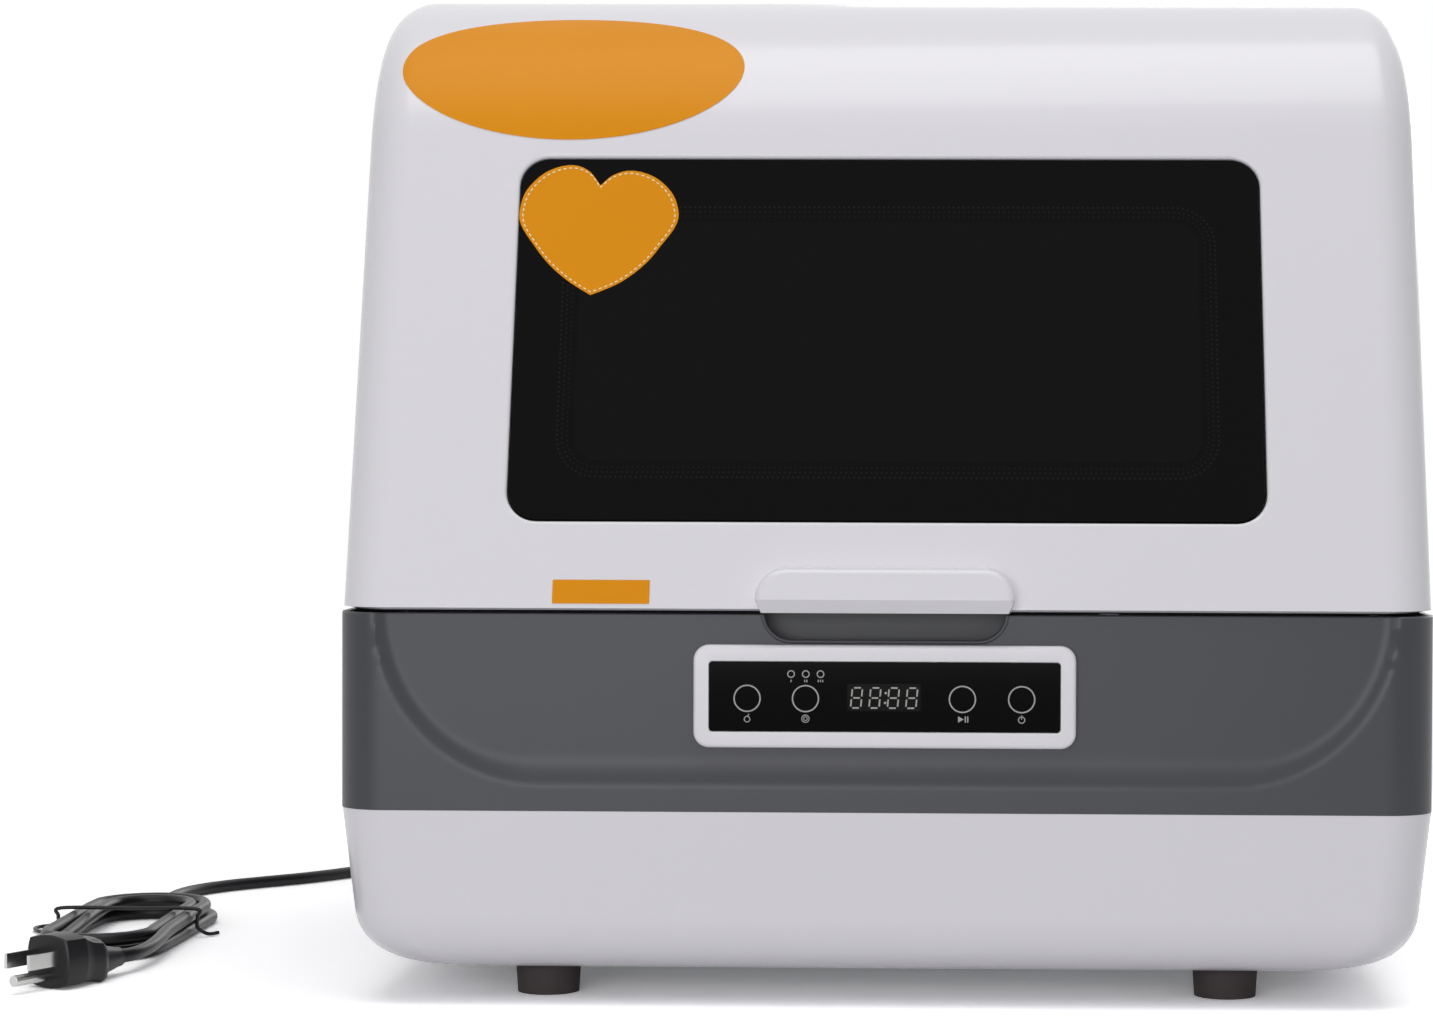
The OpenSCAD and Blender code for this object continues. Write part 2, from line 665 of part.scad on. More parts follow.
// Rigid ducts: a straight run, and for the sump's duct a quarter bend.
module wash_duct() {
  color("#3B3C40") translate([0, arm_y, pump_z + 20]) difference() {
    union() {
      bar_x(-58, 0, 0, 0, 9);
      sphere(r = 9);
      cylinder(r = 9, h = 10);
    }
    bar_x(-59, 0, 0, 0, 6.5);
    sphere(r = 6.5);
    cylinder(r = 6.5, h = 11);
  }
}

module sump_duct() {
  color("#3B3C40") translate([0, 0, pump_z]) difference() {
    bend(22, 9);
    bend(22, 7);
  }
}

module bend(r, tube_r) {
  bar_x(wash_at[0], -4 - r, arm_y, 0, tube_r);
  translate([-4 - r, arm_y + r, 0]) rotate([0, 0, -90]) rotate_extrude(angle = 90) translate([r, 0]) circle(tube_r);
  bar_y(arm_y + r, sump_y - sump_r - 5, -4, 0, tube_r);
}

drain_route = [[drain_at[0] + 12, sump_y + 26, drain_at[2]], [drain_at[0] + 12, sump_y + 34, drain_at[2]],
  [drain_at[0] + 14, sump_y + 46, drain_at[2] + 2], [drain_at[0] + 22, sump_y + 60, drain_at[2] + 8],
  [drain_at[0] + 40, sump_y + 76, drain_at[2] + 22], [port_x[1] - 32, port_y - 49, port_z - 26],
  [port_x[1] - 12, port_y - 41, port_z - 11], [port_x[1] - 2, port_y - 34, port_z - 3],
  [port_x[1], port_y - 27, port_z], [port_x[1], port_y - 18, port_z]];
module drain_hose() { color("#3B3C40") tube(drain_route, 7, 10); }

module drain_spigot() {
  color("#2B2C2F") difference() {
    union() {
      bar_y(port_y - 18, port_y + 1, port_x[1], port_z, 9); // neck in the wall
      bar_y(port_y + 0.5, port_y + 16, port_x[1], port_z, 9.5);
      bar_y(port_y - wall - 3, port_y - wall, port_x[1], port_z, 14);
    }
    bar_y(port_y - 17, port_y + 17, port_x[1], port_z, 6.5);
  }
}

module inlet_valve() {
  color("#E4E4E6") difference() {
    union() {
      bar_y(port_y - wall - 3, port_y + 1, port_x[0], port_z, 12.6); // neck in the wall
      bar_y(port_y + 0.5, port_y + 14, port_x[0], port_z, 13.2);
      bar_y(port_y - wall - 4, port_y - wall, port_x[0], port_z, 18);
      box(port_x[0] - 14, port_y - 34, port_z - 14, port_x[0] + 14, port_y - wall - 4 + eps, port_z + 14);
      translate([port_x[0], port_y - 21, port_z + 14 - eps]) cylinder(r = 11, h = 30);
    }
    bar_y(port_y - 20, port_y + 15, port_x[0], port_z, 9);
  }
}

fill_y = plate_y + tub_t + 16;
fill_route = [[port_x[0], port_y - 34, port_z], [port_x[0], port_y - 42, port_z],
  [port_x[0], port_y - 51, port_z + 4], [port_x[0], fill_y, port_z + 14], [port_x[0], fill_y, belt_top + 22],
  [port_x[0], fill_y - 1.5, belt_top + 32], [port_x[0], fill_y - 6.5, belt_top + 38.5],
  [port_x[0], fill_y - 12, belt_top + 40], [port_x[0], plate_y + tub_t, belt_top + 40]];
module fill_hose() { color("#3B3C40") tube(fill_route, 6.5, 10); }

// ---------- Drying fan ----------

fan_x = 125 - hw;
fan_z = belt_top + 130;
module fan_housing() {
  y = plate_y + tub_t;
  color("#2B2C2F") difference() {
    union() {
      bar_y(y, y + 34, fan_x, fan_z, 40);
      bar_y(y + 34 - eps, y + 52, fan_x, fan_z, 14);
    }
    bar_y(y + 3, y + 31, fan_x, fan_z, 37);
    bar_y(y - 1, y + 4, fan_x, fan_z + 28, 8);
    bar_y(y + 30, y + 48, fan_x, fan_z, 2 + touch);
    for (a = [0:45:359]) bar_y(y + 30, y + 40, fan_x + 22 * cos(a), fan_z + 22 * sin(a), 5);
  }
}

module fan_impeller() {
  y = plate_y + tub_t + 5;
  color("#D7D9DC") translate([fan_x, y, fan_z]) rotate([-90, 0, 0]) {
    cylinder(r = 34, h = 1.6);
    translate([0, 0, 1.6 - eps]) cylinder(r = 8, h = 20);
    cylinder(r = 2, h = 42);
    for (a = [0:30:359]) rotate(a) translate([22, 0, 1.6 - eps]) rotate(28) cube([13, 1.4, 20]);
    translate([0, 0, 20]) difference() {
      cylinder(r = 34.5, h = 2);
      translate([0, 0, -1]) cylinder(r = 30, h = 4);
    }
  }
}

// ---------- Control panel ----------

face_y = front + scoop; // the scooped face
module panel_bezel() {
  color("#DADADF") difference() {
    union() {
      on_front(face_y - bezel_t + 1, bezel_t - 1) round_rect(-bezel_w / 2, bezel_z - bezel_h / 2, bezel_w / 2, bezel_z + bezel_h / 2, 6.4);
      on_front(face_y - bezel_t, 1 + eps) round_rect(-bezel_w / 2 + 1, bezel_z - bezel_h / 2 + 1, bezel_w / 2 - 1,
        bezel_z + bezel_h / 2 - 1, 5.4);
      for (x = [-bezel_w / 2 + 8, bezel_w / 2 - 8]) bar_y(face_y - eps, front + front_wall + 3, x, bezel_z, 1.5);
    }
    on_front(face_y - bezel_t - 1, 1.4 + touch_t) round_rect(-touch_w / 2 - 0.1, bezel_z - touch_h / 2 - 0.1,
      touch_w / 2 + 0.1, bezel_z + touch_h / 2 + 0.1, 1.5);
    on_front(face_y - bezel_t, bezel_t + 1) round_rect(-50, bezel_z - 9, 50, bezel_z + 9, 2);
  }
}

module touch_glass() {
  color(black) on_front(face_y - bezel_t + 0.4, touch_t) round_rect(-touch_w / 2, bezel_z - touch_h / 2,
    touch_w / 2, bezel_z + touch_h / 2, 1.4);
}

module display() {
  y = face_y - bezel_t + 0.4 + touch_t;
  color("#303136") difference() {
    on_front(y, front + front_wall + 1.2 - y) round_rect(-48, bezel_z - 7, 48, bezel_z + 7, 1);
    for (x = [-34, -4, 26]) on_front(y - 1, 3) round_rect(x - 8, bezel_z - 4.6, x + 8, bezel_z + 4.6, 1);
  }
}

module control_board() {
  y = front + front_wall + 1.2;
  color("#1F5B3A") difference() {
    union() {
      on_front(y, 1.6) round_rect(-76, bezel_z - 17, 76, bezel_z + 15, 1.5);
      box(-60, y + 1.6 - eps, bezel_z - 12, -38, y + 5.6, bezel_z + 2);
      box(20, y + 1.6 - eps, bezel_z - 10, 52, y + 7, bezel_z - 2);
    }
    for (x = [-bezel_w / 2 + 8, bezel_w / 2 - 8]) bar_y(y - 2, y + 4, x, bezel_z, 1.7);
  }
}

// ---------- Latch ----------

latch_x = 92;
latch_y = front + front_wall + 5.5; // pawl pivot
latch_z = tub_rim - 15;
module latch_housing() {
  y0 = front + front_wall;
  color("#2B2C2F") difference() {
    box(latch_x - 11, y0, latch_z - 8, latch_x + 11, y0 + 11, tub_rim - 4.5);
    box(latch_x - 5, y0 + 1.2, latch_z - 5.5, latch_x + 5, y0 + 12, tub_rim);
    bar_x(latch_x - 9, latch_x + 9, latch_y, latch_z, 2.0 + touch);
  }
}

module latch_pawl() {
  color("#C9CBCE") {
    bar_x(latch_x - 4.5, latch_x + 4.5, latch_y, latch_z, 4);
    bar_x(latch_x - 8.5, latch_x + 8.5, latch_y, latch_z, 2.0);
    box(latch_x - 4.5, latch_y - 1.2, latch_z, latch_x + 4.5, latch_y + 1.8, tub_rim - 3);
    translate([latch_x - 4.5, 0, 0]) rotate([90, 0, 90]) linear_extrude(9) polygon([[latch_y + 1.7, tub_rim - 6],
      [latch_y + 4, tub_rim - 5.4], [latch_y + 3.4, tub_rim - 4.2], [latch_y + 1.7, tub_rim - 3]]);
  }
}

module latch_spring() {
  color(steel) box(latch_x - 3, latch_y + 4.2, latch_z - 5.5, latch_x + 3, latch_y + 4.6, latch_z + 3);
}

module striker() {
  y = latch_y + 4.4;
  color(steel) {
    box(latch_x - 4, y, tub_rim - 7.8, latch_x + 4, y + 1.2, hood_z + eps);
    box(latch_x - 4, y - 2, tub_rim - 7.8, latch_x + 4, y + eps, tub_rim - 6.4);
    box(latch_x - 8, y - 2, hood_z - 1.2, latch_x + 8, y + 1.2, hood_z);
  }
}

// ---------- Hood ----------

// Puts children on the leaning front: X across, Y up along the lean from the hood's lower edge, Z outwards from the skin.
module on_lean() {
  translate([0, front + belt_proud, hood_z]) rotate([90 - lean, 0, 0]) children();
}

window_c = window_up + window_h / 2;
module window_outline(grow, r = window_r) {
  round_rect(-window_w / 2 - grow, window_up - grow, window_w / 2 + grow, window_up + window_h + grow, r + grow);
}

gasket_t = 1.2;
seat = window_sink + window_t + gasket_t; // depth of the seat below the skin
module hood_shell() {
  color(white) difference() {
    union() {
      difference() {
        hood_form(0, hood_z, hood_rear);
        hood_form(wall, hood_z - 20, hood_rear + 1);
      }
      handle();
      on_lean() translate([0, 0, -seat - 3]) linear_extrude(seat + 3 - wall + eps) window_outline(6);
      for (s = [-1, 1]) box(s * arm_x - 18, hood_rear - 27, hinge_z, s * arm_x + 18, hood_rear - 2.4, body_h - wall + eps);
      for (s = [-1, 1], y = [front + 90, hood_rear - 20]) box(s * (hw - 7) - 5, y - 5, hood_z + flange_t + fit,
        s * (hw - 7) + 5, y + 5, hood_z + 22);
    }
    on_lean() translate([0, 0, -seat]) linear_extrude(seat + 5) window_outline(0.4);
    on_lean() translate([0, 0, -seat - 5]) linear_extrude(seat + 5) window_outline(-10);
    for (s = [-1, 1], x = [-11, 11]) translate([s * arm_x + x, hood_rear - 14, hinge_z - 1]) cylinder(r = 1.5, h = 5);
  }
}

// The pull: a pad on the front that grows into a lip over the finger recess.
module handle() {
  z0 = hood_z - 1.5;
  lip = front - handle_out;
  intersection() {
    translate([-handle_w, 0, 0]) rotate([90, 0, 90]) linear_extrude(2 * handle_w) polygon([
      [front + 12, hood_z + handle_h + 1], [front + handle_h * tan(lean) - 0.8, hood_z + handle_h],
      [lip + 1.2, z0 + 6.2], [lip, z0 + 4.6], [lip + 0.6, z0 + 3.2], [lip + 5, z0], [front + 2.6, z0],
      [front + 4, hood_z + flange_t + fit], [front + 8, hood_z + flange_t + 2]]);
    translate([0, front + 40, 0]) rotate([90, 0, 0]) linear_extrude(80) union() {
      polygon([[-handle_w / 2 + 2, z0 - 1], [-handle_w / 2, z0 + 4], [-handle_w / 2 + 11, hood_z + handle_h - 6],
        [handle_w / 2 - 11, hood_z + handle_h - 6], [handle_w / 2, z0 + 4], [handle_w / 2 - 2, z0 - 1]]);
      translate([-handle_w / 2 + 17, hood_z]) square([handle_w - 34, handle_h]);
      for (s = [-1, 1]) translate([s * (handle_w / 2 - 17), hood_z + handle_h - 7]) circle(7);
    }
  }
}

module liner_cut() {
  on_lean() translate([0, 0, -40]) linear_extrude(60) window_outline(-16, 10);
}

module hood_liner() {
  foot_y = front + belt_proud + (wall + fit) / cos(lean) + flange_t * tan(lean);
  foot_x = hw - belt_proud - wall - fit;
  color("#DCDDE0") difference() {
    union() {
      difference() {
        hood_form(liner_gap, hood_z, hood_rear);
        hood_form(liner_gap + liner_t, hood_z - 20, hood_rear + 1);
      }
      // the foot flange closes the hood below and lies over the seal
      translate([0, 0, hood_z]) linear_extrude(flange_t) difference() {
        round_rect(-foot_x, foot_y, foot_x, rear, corner_r - wall - fit);
        round_rect(-tub_x, tub_front + tub_t, tub_x, rear, tub_r);
        translate([-hw, hood_rear]) square([body_w, body_d]);
      }
      difference() { // the back flange meets the arch of the seal
        arch(wall + fit, hood_rear - flange_t, hood_rear, hood_z);
        arch(seal_in + seal_w + 0.8, hood_rear - 5, hood_rear + 1, hood_z - 1);
      }
    }
    liner_cut();
    for (s = [-1, 1]) box(s * arm_x - arm_w / 2 - 0.6, hood_rear - 5, hinge_z - 5.5,
      s * arm_x + arm_w / 2 + 0.6, hood_rear + 1, body_h);
  }
}

module window_glass() {
  color([0.03, 0.03, 0.035]) on_lean() translate([0, 0, -window_sink - window_t]) linear_extrude(window_t) window_outline(0);
}

module window_gasket() {
  color(black) on_lean() translate([0, 0, -seat]) linear_extrude(gasket_t) difference() {
    window_outline(-0.5);
    window_outline(-9, 9);
  }
}

module inner_pane() {
  color([0.8, 0.85, 0.9, 0.4]) on_lean() translate([0, 0, -liner_gap]) linear_extrude(2.2) window_outline(-11, 10);
}

module hinge_arms() {
  color(steel) for (s = [-1, 1]) difference() {
    union() {
      bar_x(s * arm_x - arm_w / 2, s * arm_x + arm_w / 2, hinge_y, hinge_z, barrel_r);
      box(s * arm_x - arm_w / 2, hood_rear - 30, hinge_z - 4, s * arm_x + arm_w / 2, hinge_y, hinge_z);
    }
    bar_x(s * arm_x - arm_w, s * arm_x + arm_w, hinge_y, hinge_z, pin_r + touch);
    for (x = [-11, 11]) translate([s * arm_x + x, hood_rear - 14, hinge_z - 6]) cylinder(r = 1.7, h = 12);
  }
}

module hinge_pins() {
  color("#8D9094") for (s = [-1, 1]) bar_x(s * arm_x - 30, s * arm_x + 30, hinge_y, hinge_z, pin_r);
}

module hood_screws() {
  color("#8D9094") for (s = [-1, 1], x = [-11, 11]) translate([s * arm_x + x, hood_rear - 14, 0]) {
    translate([0, 0, hinge_z - 6]) cylinder(r = 3, h = 2);
    translate([0, 0, hinge_z - 4 - eps]) cylinder(r = 1.45, h = 7.5);
  }
}

// ---------- Rack and basket ----------

rack_z = tub_z + 28; // underside of the rack
rack = [[26.5 - tub_x, tub_front + 22], [tub_x - 26.5, plate_y - 14]]; // outline of the rack
hook = 0.1; // gap where one wire panel hooks into the next
module wire_x(x0, x1, y, z) { bar_x(x0, x1, y, z, wire / 2, 8); }
module wire_y(y0, y1, x, z) { bar_y(y0, y1, x, z, wire / 2, 8); }
module wire_z(x, y, z0, z1) { translate([x, y, z0]) cylinder(r = wire / 2, h = z1 - z0, $fn = 8); }

// Five flat wire panels: a floor grid and four sides that hook round it. The front and back ones have the legs.
module dish_rack() {
  x0 = rack[0][0]; x1 = rack[1][0];
  y0 = rack[0][1]; y1 = rack[1][1];
  z = rack_z + wire / 2;
  in = wire / 2 + hook;
  levels = [0, rack_h / 2, rack_h];
  color("#C4C6CA") {
    for (i = [1:6]) wire_y(y0 + in, y1 - in, x0 + (x1 - x0) * i / 7, z);
    for (i = [1:5]) wire_x(x0 + in, x1 - in, y0 + (y1 - y0) * i / 6, z);
    for (y = [y0, y1]) {
      for (h = levels) wire_x(x0 - wire / 2, x1 + wire / 2, y, z + h);
      for (i = [1:6]) wire_z(x0 + (x1 - x0) * i / 7, y, z, z + rack_h);
      for (x = [x0, x1]) wire_z(x, y, tub_z, z + rack_h);
    }
    for (x = [x0, x1]) {
      for (h = levels) wire_y(y0 + in, y1 - in, x, z + h);
      for (i = [1:5]) wire_z(x, y0 + (y1 - y0) * i / 6, z, z + rack_h);
    }
  }
}

// Two rows of tines that stand on the floor grid.
module plate_tines() {
  x0 = rack[0][0];
  z = rack_z + 1.5 * wire + hook;
  color("#C4C6CA") for (i = [1, 3]) let (y = rack[0][1] + (rack[1][1] - rack[0][1]) * i / 6) {
    wire_x(x0 + 34, x0 + 200, y, z);
    for (k = [1:7]) wire_z(x0 + 20 + 24 * k, y, z, z + 50);
  }
}

basket = [tub_x - 102.5, rack[0][1] + 4, tub_x - 34.5, rack[0][1] + 150]; // x0, y0, x1, y1
basket_h = 70;
module cutlery_basket() {
  z0 = rack_z + wire + 0.1;
  cell = (basket[3] - basket[1] - 2) / 3;
  color("#B4B6BA") difference() {
    translate([0, 0, z0]) linear_extrude(basket_h) round_rect(basket[0], basket[1], basket[2], basket[3], 8);
    for (i = [0:2]) let (y = basket[1] + 2 + cell * i) {
      translate([0, 0, z0 + 2]) linear_extrude(basket_h) round_rect(basket[0] + 2, y, basket[2] - 2, y + cell - 2, 6);
      for (q = [0:2], z = [12, 40]) translate([basket[0] - 1, y + 9 + 11.5 * q, z0 + z]) cube([80, 5, 20]);
    }
    for (q = [0:3]) translate([basket[0] + 12 + 13 * q, basket[1] - 5, z0 + 12]) cube([5, 400, 48]);
  }
}

// ---------- Cord ----------

cord_z = cord_d / 2 + 0.05;
cord_x = cord_exit[0];
exit_z = cord_exit[2];
// The hank: loops with straight runs along Y that spiral in on the worktop and out again one layer up.
hank_c = [cord_x - 183, rear - 230];
hank_run = 90;
hank_turns = 3.2;
hank_step = cord_d + 0.6;
hank_turn = hank_turns / 2; // where the spiral reverses
hank_in = 3 * cord_d; // the tightest fold
function hank_r(t) = hank_in + hank_step * abs(t - hank_turn);
function ease(u) = let (c = min(max(u, 0), 1)) c * c * (3 - 2 * c);
function hank_height(t) = cord_z + (cord_d + 0.5) * ease((t - hank_turn + 0.3) / 0.45);
// One lap: the right run forwards, the front fold, the left run back and the rear fold; u from 0 to 1.
function lap(u, r) = let (l = 2 * hank_run + 2 * PI * r, s = u * l, f = PI * r)
  s < hank_run ? [r, hank_run / 2 - s] :
  s < hank_run + f ? let (a = (s - hank_run) / r * 180 / PI) [r * cos(a), -hank_run / 2 - r * sin(a)] :
  s < 2 * hank_run + f ? [-r, -hank_run / 2 + s - hank_run - f] :
  let (a = (s - 2 * hank_run - f) / r * 180 / PI) [-r * cos(a), hank_run / 2 + r * sin(a)];
hank_laps = 24;
hank_pts = [for (i = [0:floor((hank_turns + 0.04) * hank_laps)]) let (t = i / hank_laps, p = lap(t - floor(t), hank_r(t)))
  [hank_c[0] + p[0], hank_c[1] + p[1], hank_height(t)]];
hank_gap = min([for (i = [0:len(hank_pts) - 1], j = [i + 10:1:len(hank_pts) - 1]) norm(hank_pts[i] - hank_pts[j])]) - cord_d;
hank_length = [for (i = 1, s = 0; i <= len(hank_pts); s = s + (i < len(hank_pts) ? norm(hank_pts[i] - hank_pts[i - 1]) : 0),
  i = i + 1) s];
echo(hank_gap = hank_gap, hank_length = hank_length[len(hank_length) - 1], hank_start = hank_pts[0],
  hank_end = hank_pts[len(hank_pts) - 1]);

route_out = [[cord_x, rear + 26, exit_z], [cord_x - 0.5, rear + 37, exit_z - 1.5], [cord_x - 3.5, rear + 49, exit_z - 7],
  [cord_x - 11, rear + 59, exit_z - 15.5], [cord_x - 23, rear + 66, exit_z - 23.5], [cord_x - 38, rear + 68, exit_z - 29.5],
  [cord_x - 54, rear + 64, cord_z], [cord_x - 69, rear + 56, cord_z], [cord_x - 83, rear + 45, cord_z], [cord_x - 96, rear + 31, cord_z],
  [cord_x - 108, rear + 14, cord_z], [cord_x - 122, rear - 6, cord_z], [cord_x - 138, rear - 26, cord_z], [cord_x - 155, rear - 42, cord_z],
  [cord_x - 171, rear - 58, cord_z], [cord_x - 183, rear - 76, cord_z], [cord_x - 189, rear - 96, cord_z], [cord_x - 188, rear - 116, cord_z],
  [cord_x - 181, rear - 133, cord_z], [cord_x - 171.5, rear - 147, cord_z], [cord_x - 162.5, rear - 159, cord_z],
  [hank_c[0] + hank_r(0) - 1.8, rear - 169, cord_z], [hank_c[0] + hank_r(0), rear - 177, cord_z]];

hank_end = hank_pts[len(hank_pts) - 1];
plug_at = [cord_x - 168, rear - 352, 11.5]; // centre of the plug's back
plug_turn = 28; // how far the plug turns away from -Y, degrees
plug_back = plug_at + [18 * sin(plug_turn), 18 * cos(plug_turn), -3.5];
route_in = [hank_end, hank_end + [0.3, -13, -0.3], hank_end + [1.4, -28, -0.8], hank_end + [1.9, -43, -1.2],
  hank_end + [1.3, -56, -1.5], plug_back + [4.4, 8.3, 0], plug_back];

module power_cord() { color(black) tube(concat(route_out, [hank_pts[0]]), cord_d / 2, 8); }
module cord_hank() { color(black) tube(hank_pts, cord_d / 2, 6); }
module cord_tail() { color(black) tube(route_in, cord_d / 2, 8); }

module strain_relief() {
  color(black) {
    bar_y(rear - 22.2, rear - 20, cord_exit[0], exit_z, 9);
    bar_y(rear - 20.1, rear - 3.1, cord_exit[0], exit_z, 6.5);
    bar_y(rear - 3.2, rear - 1, cord_exit[0], exit_z, 9);
    translate([cord_exit[0], rear - 1 - eps, exit_z]) rotate([-90, 0, 0]) difference() {
      cylinder(r1 = 7, r2 = 4.2, h = 27);
      for (z = [4:5:22]) translate([0, 0, z]) difference() {
        cylinder(r = 10, h = 2);
        cylinder(r = 3.6, h = 2);
      }
    }
  }
}

// A round wire tie held round both runs, with its twisted tail.
module twist_tie() {
  y = hank_c[1] + 6;
  x0 = hank_c[0] - hank_r(0) - cord_d / 2 - 1.2;
  x1 = hank_c[0] + hank_r(0) + cord_d / 2 + 1.2;
  top = 1.5 * cord_d + 4.7;
  color("#101012") tube([[hank_c[0], y, top], [x0 + 1.5, y, top], [x0, y, 10], [x0, y, 5], [x0 - 5, y + 3, 1.6],
    [x0 - 12, y + 9, 1.4], [x0 - 16, y + 20, 1.4], [x0 - 10, y + 30, 1.4]], 0.9, 6);
  color("#101012") tube([[hank_c[0] - 0.4, y, top], [x1 - 1.5, y, top], [x1, y, 10], [x1, y, 5], [x1 + 4, y + 3, 1.6],
    [x1 + 8, y + 8, 1.4]], 0.9, 6);
}

module plug_frame() { translate(plug_at) rotate([0, 0, -plug_turn]) children(); }

module plug_body() {
  color(black) plug_frame() {
    rotate([90, 0, 0]) linear_extrude(26) intersection() {
      round_rect(-12, -11.4, 12, 14, 6);
      circle(15.5);
    }
    translate([0, 2 - eps, 0]) rotate([90, 0, 0]) linear_extrude(2) round_rect(-9, -9, 9, 11, 5);
    translate([0, 1, -3.5]) rotate([-90, 0, 0]) cylinder(r1 = 7.5, r2 = 4.4, h = 17);
  }
}

module plug_pins() {
  color("#C8CACD") plug_frame() {
    for (x = [-6.35, 6.35]) box(x - 0.75, -44, -1, x + 0.75, -26, 5.3);
    translate([0, -26, -5.6]) rotate([90, 0, 0]) cylinder(r = 2.4, h = 20);
  }
}

// ---------- Drawing ----------

base_shell();
bottom_plate();
feet();
foot_screws();
belt_housing();
rear_housing();
rear_cover();
cover_screws();
tub();
door_seal();
sump();
coarse_filter();
fine_filter();
spray_post();
spray_arm();
spray_cap();
heater();
wash_pump();
wash_impeller();
wash_duct();
sump_duct();
drain_pump();
drain_impeller();
drain_hose();
drain_spigot();
inlet_valve();
fill_hose();
fan_housing();
fan_impeller();
power_board();
panel_bezel();
touch_glass();
display();
control_board();
latch_housing();
latch_pawl();
latch_spring();
hood_shell();
hood_liner();
window_glass();
window_gasket();
inner_pane();
striker();
hinge_arms();
hinge_pins();
hood_screws();
dish_rack();
plate_tines();
cutlery_basket();
strain_relief();
power_cord();
cord_hank();
cord_tail();
twist_tie();
plug_body();
plug_pins();
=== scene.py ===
"""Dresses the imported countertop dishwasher: finishes, fine shapes, cord, studio and camera."""

import logging
import math
from dataclasses import dataclass, field
from enum import Enum
from typing import Callable

import bmesh
import bpy
from bmesh.types import BMEdge, BMesh, BMFace, BMVert
from mathutils import Matrix, Vector


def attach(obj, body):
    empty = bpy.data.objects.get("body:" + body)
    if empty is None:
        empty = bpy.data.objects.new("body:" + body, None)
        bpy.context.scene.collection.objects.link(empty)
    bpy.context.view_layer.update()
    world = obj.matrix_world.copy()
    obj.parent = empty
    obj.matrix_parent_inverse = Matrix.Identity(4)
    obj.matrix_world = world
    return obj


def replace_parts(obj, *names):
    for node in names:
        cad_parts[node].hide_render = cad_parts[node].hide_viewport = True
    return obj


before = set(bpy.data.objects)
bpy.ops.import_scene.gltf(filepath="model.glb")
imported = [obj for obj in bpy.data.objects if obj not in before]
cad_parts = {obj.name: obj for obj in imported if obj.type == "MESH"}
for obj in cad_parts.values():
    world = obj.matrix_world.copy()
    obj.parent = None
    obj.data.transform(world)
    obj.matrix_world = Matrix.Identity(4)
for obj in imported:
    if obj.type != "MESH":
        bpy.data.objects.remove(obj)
LOG = logging.getLogger("dishwasher")
MM = 0.001
Point = tuple[float, float, float]
WALL = 3.0  # wall of the moulded shells, in millimetres
IMAGE_WIDTH = 1433  # pixels of the photograph
SENSOR = 36.0  # width of the camera's sensor, in millimetres
CLOUD_SCALE = 9.0  # of the slow drift in colour, in cycles per metre
TRACK_SCALE = 60.0  # of the tracks on an etched board
PLUG_TAIL = 18.0  # from the plug's middle to the end of its tail
PLUG_DROP = 3.5  # how far the tail lies below the plug's axis


def linear(code: str) -> tuple[float, float, float, float]:
    """Turns an sRGB hex colour such as "#E9E8ED" into linear red, green, blue and alpha."""
    parts = [int(code[i : i + 2], 16) / 255 for i in (1, 3, 5)]
    return (*(p / 12.92 if p <= 0.04045 else ((p + 0.055) / 1.055) ** 2.4 for p in parts), 1.0)


WHITE = linear("#FFFFFF")


def add(tree: bpy.types.NodeTree, kind: str, inputs: dict | None = None, **settings: object) -> bpy.types.Node:
    """Adds a shader node.

    Args:
        tree: The node tree that it goes into.
        kind: The node's type name.
        inputs: Socket name or number to a value, or to the output that feeds it.
        settings: The node's own properties.

    Returns:
        The new node.
    """
    made = tree.nodes.new(kind)
    for key, value in settings.items():
        setattr(made, key, value)
    for socket, value in (inputs or {}).items():
        if isinstance(value, bpy.types.NodeSocket):
            tree.links.new(value, made.inputs[socket])
        else:
            made.inputs[socket].default_value = value
    return made


def linked(name: str, data: bpy.types.ID) -> bpy.types.Object:
    """Makes an object of its data and links it into the scene."""
    made = bpy.data.objects.new(name, data)
    bpy.context.scene.collection.objects.link(made)
    return made


class Surface(Enum):
    """How a finish's surface was made, which gives its fine relief."""

    MOULDED = "moulded"
    BRUSHED = "brushed"
    COATED = "coated"
    ETCHED = "etched board"


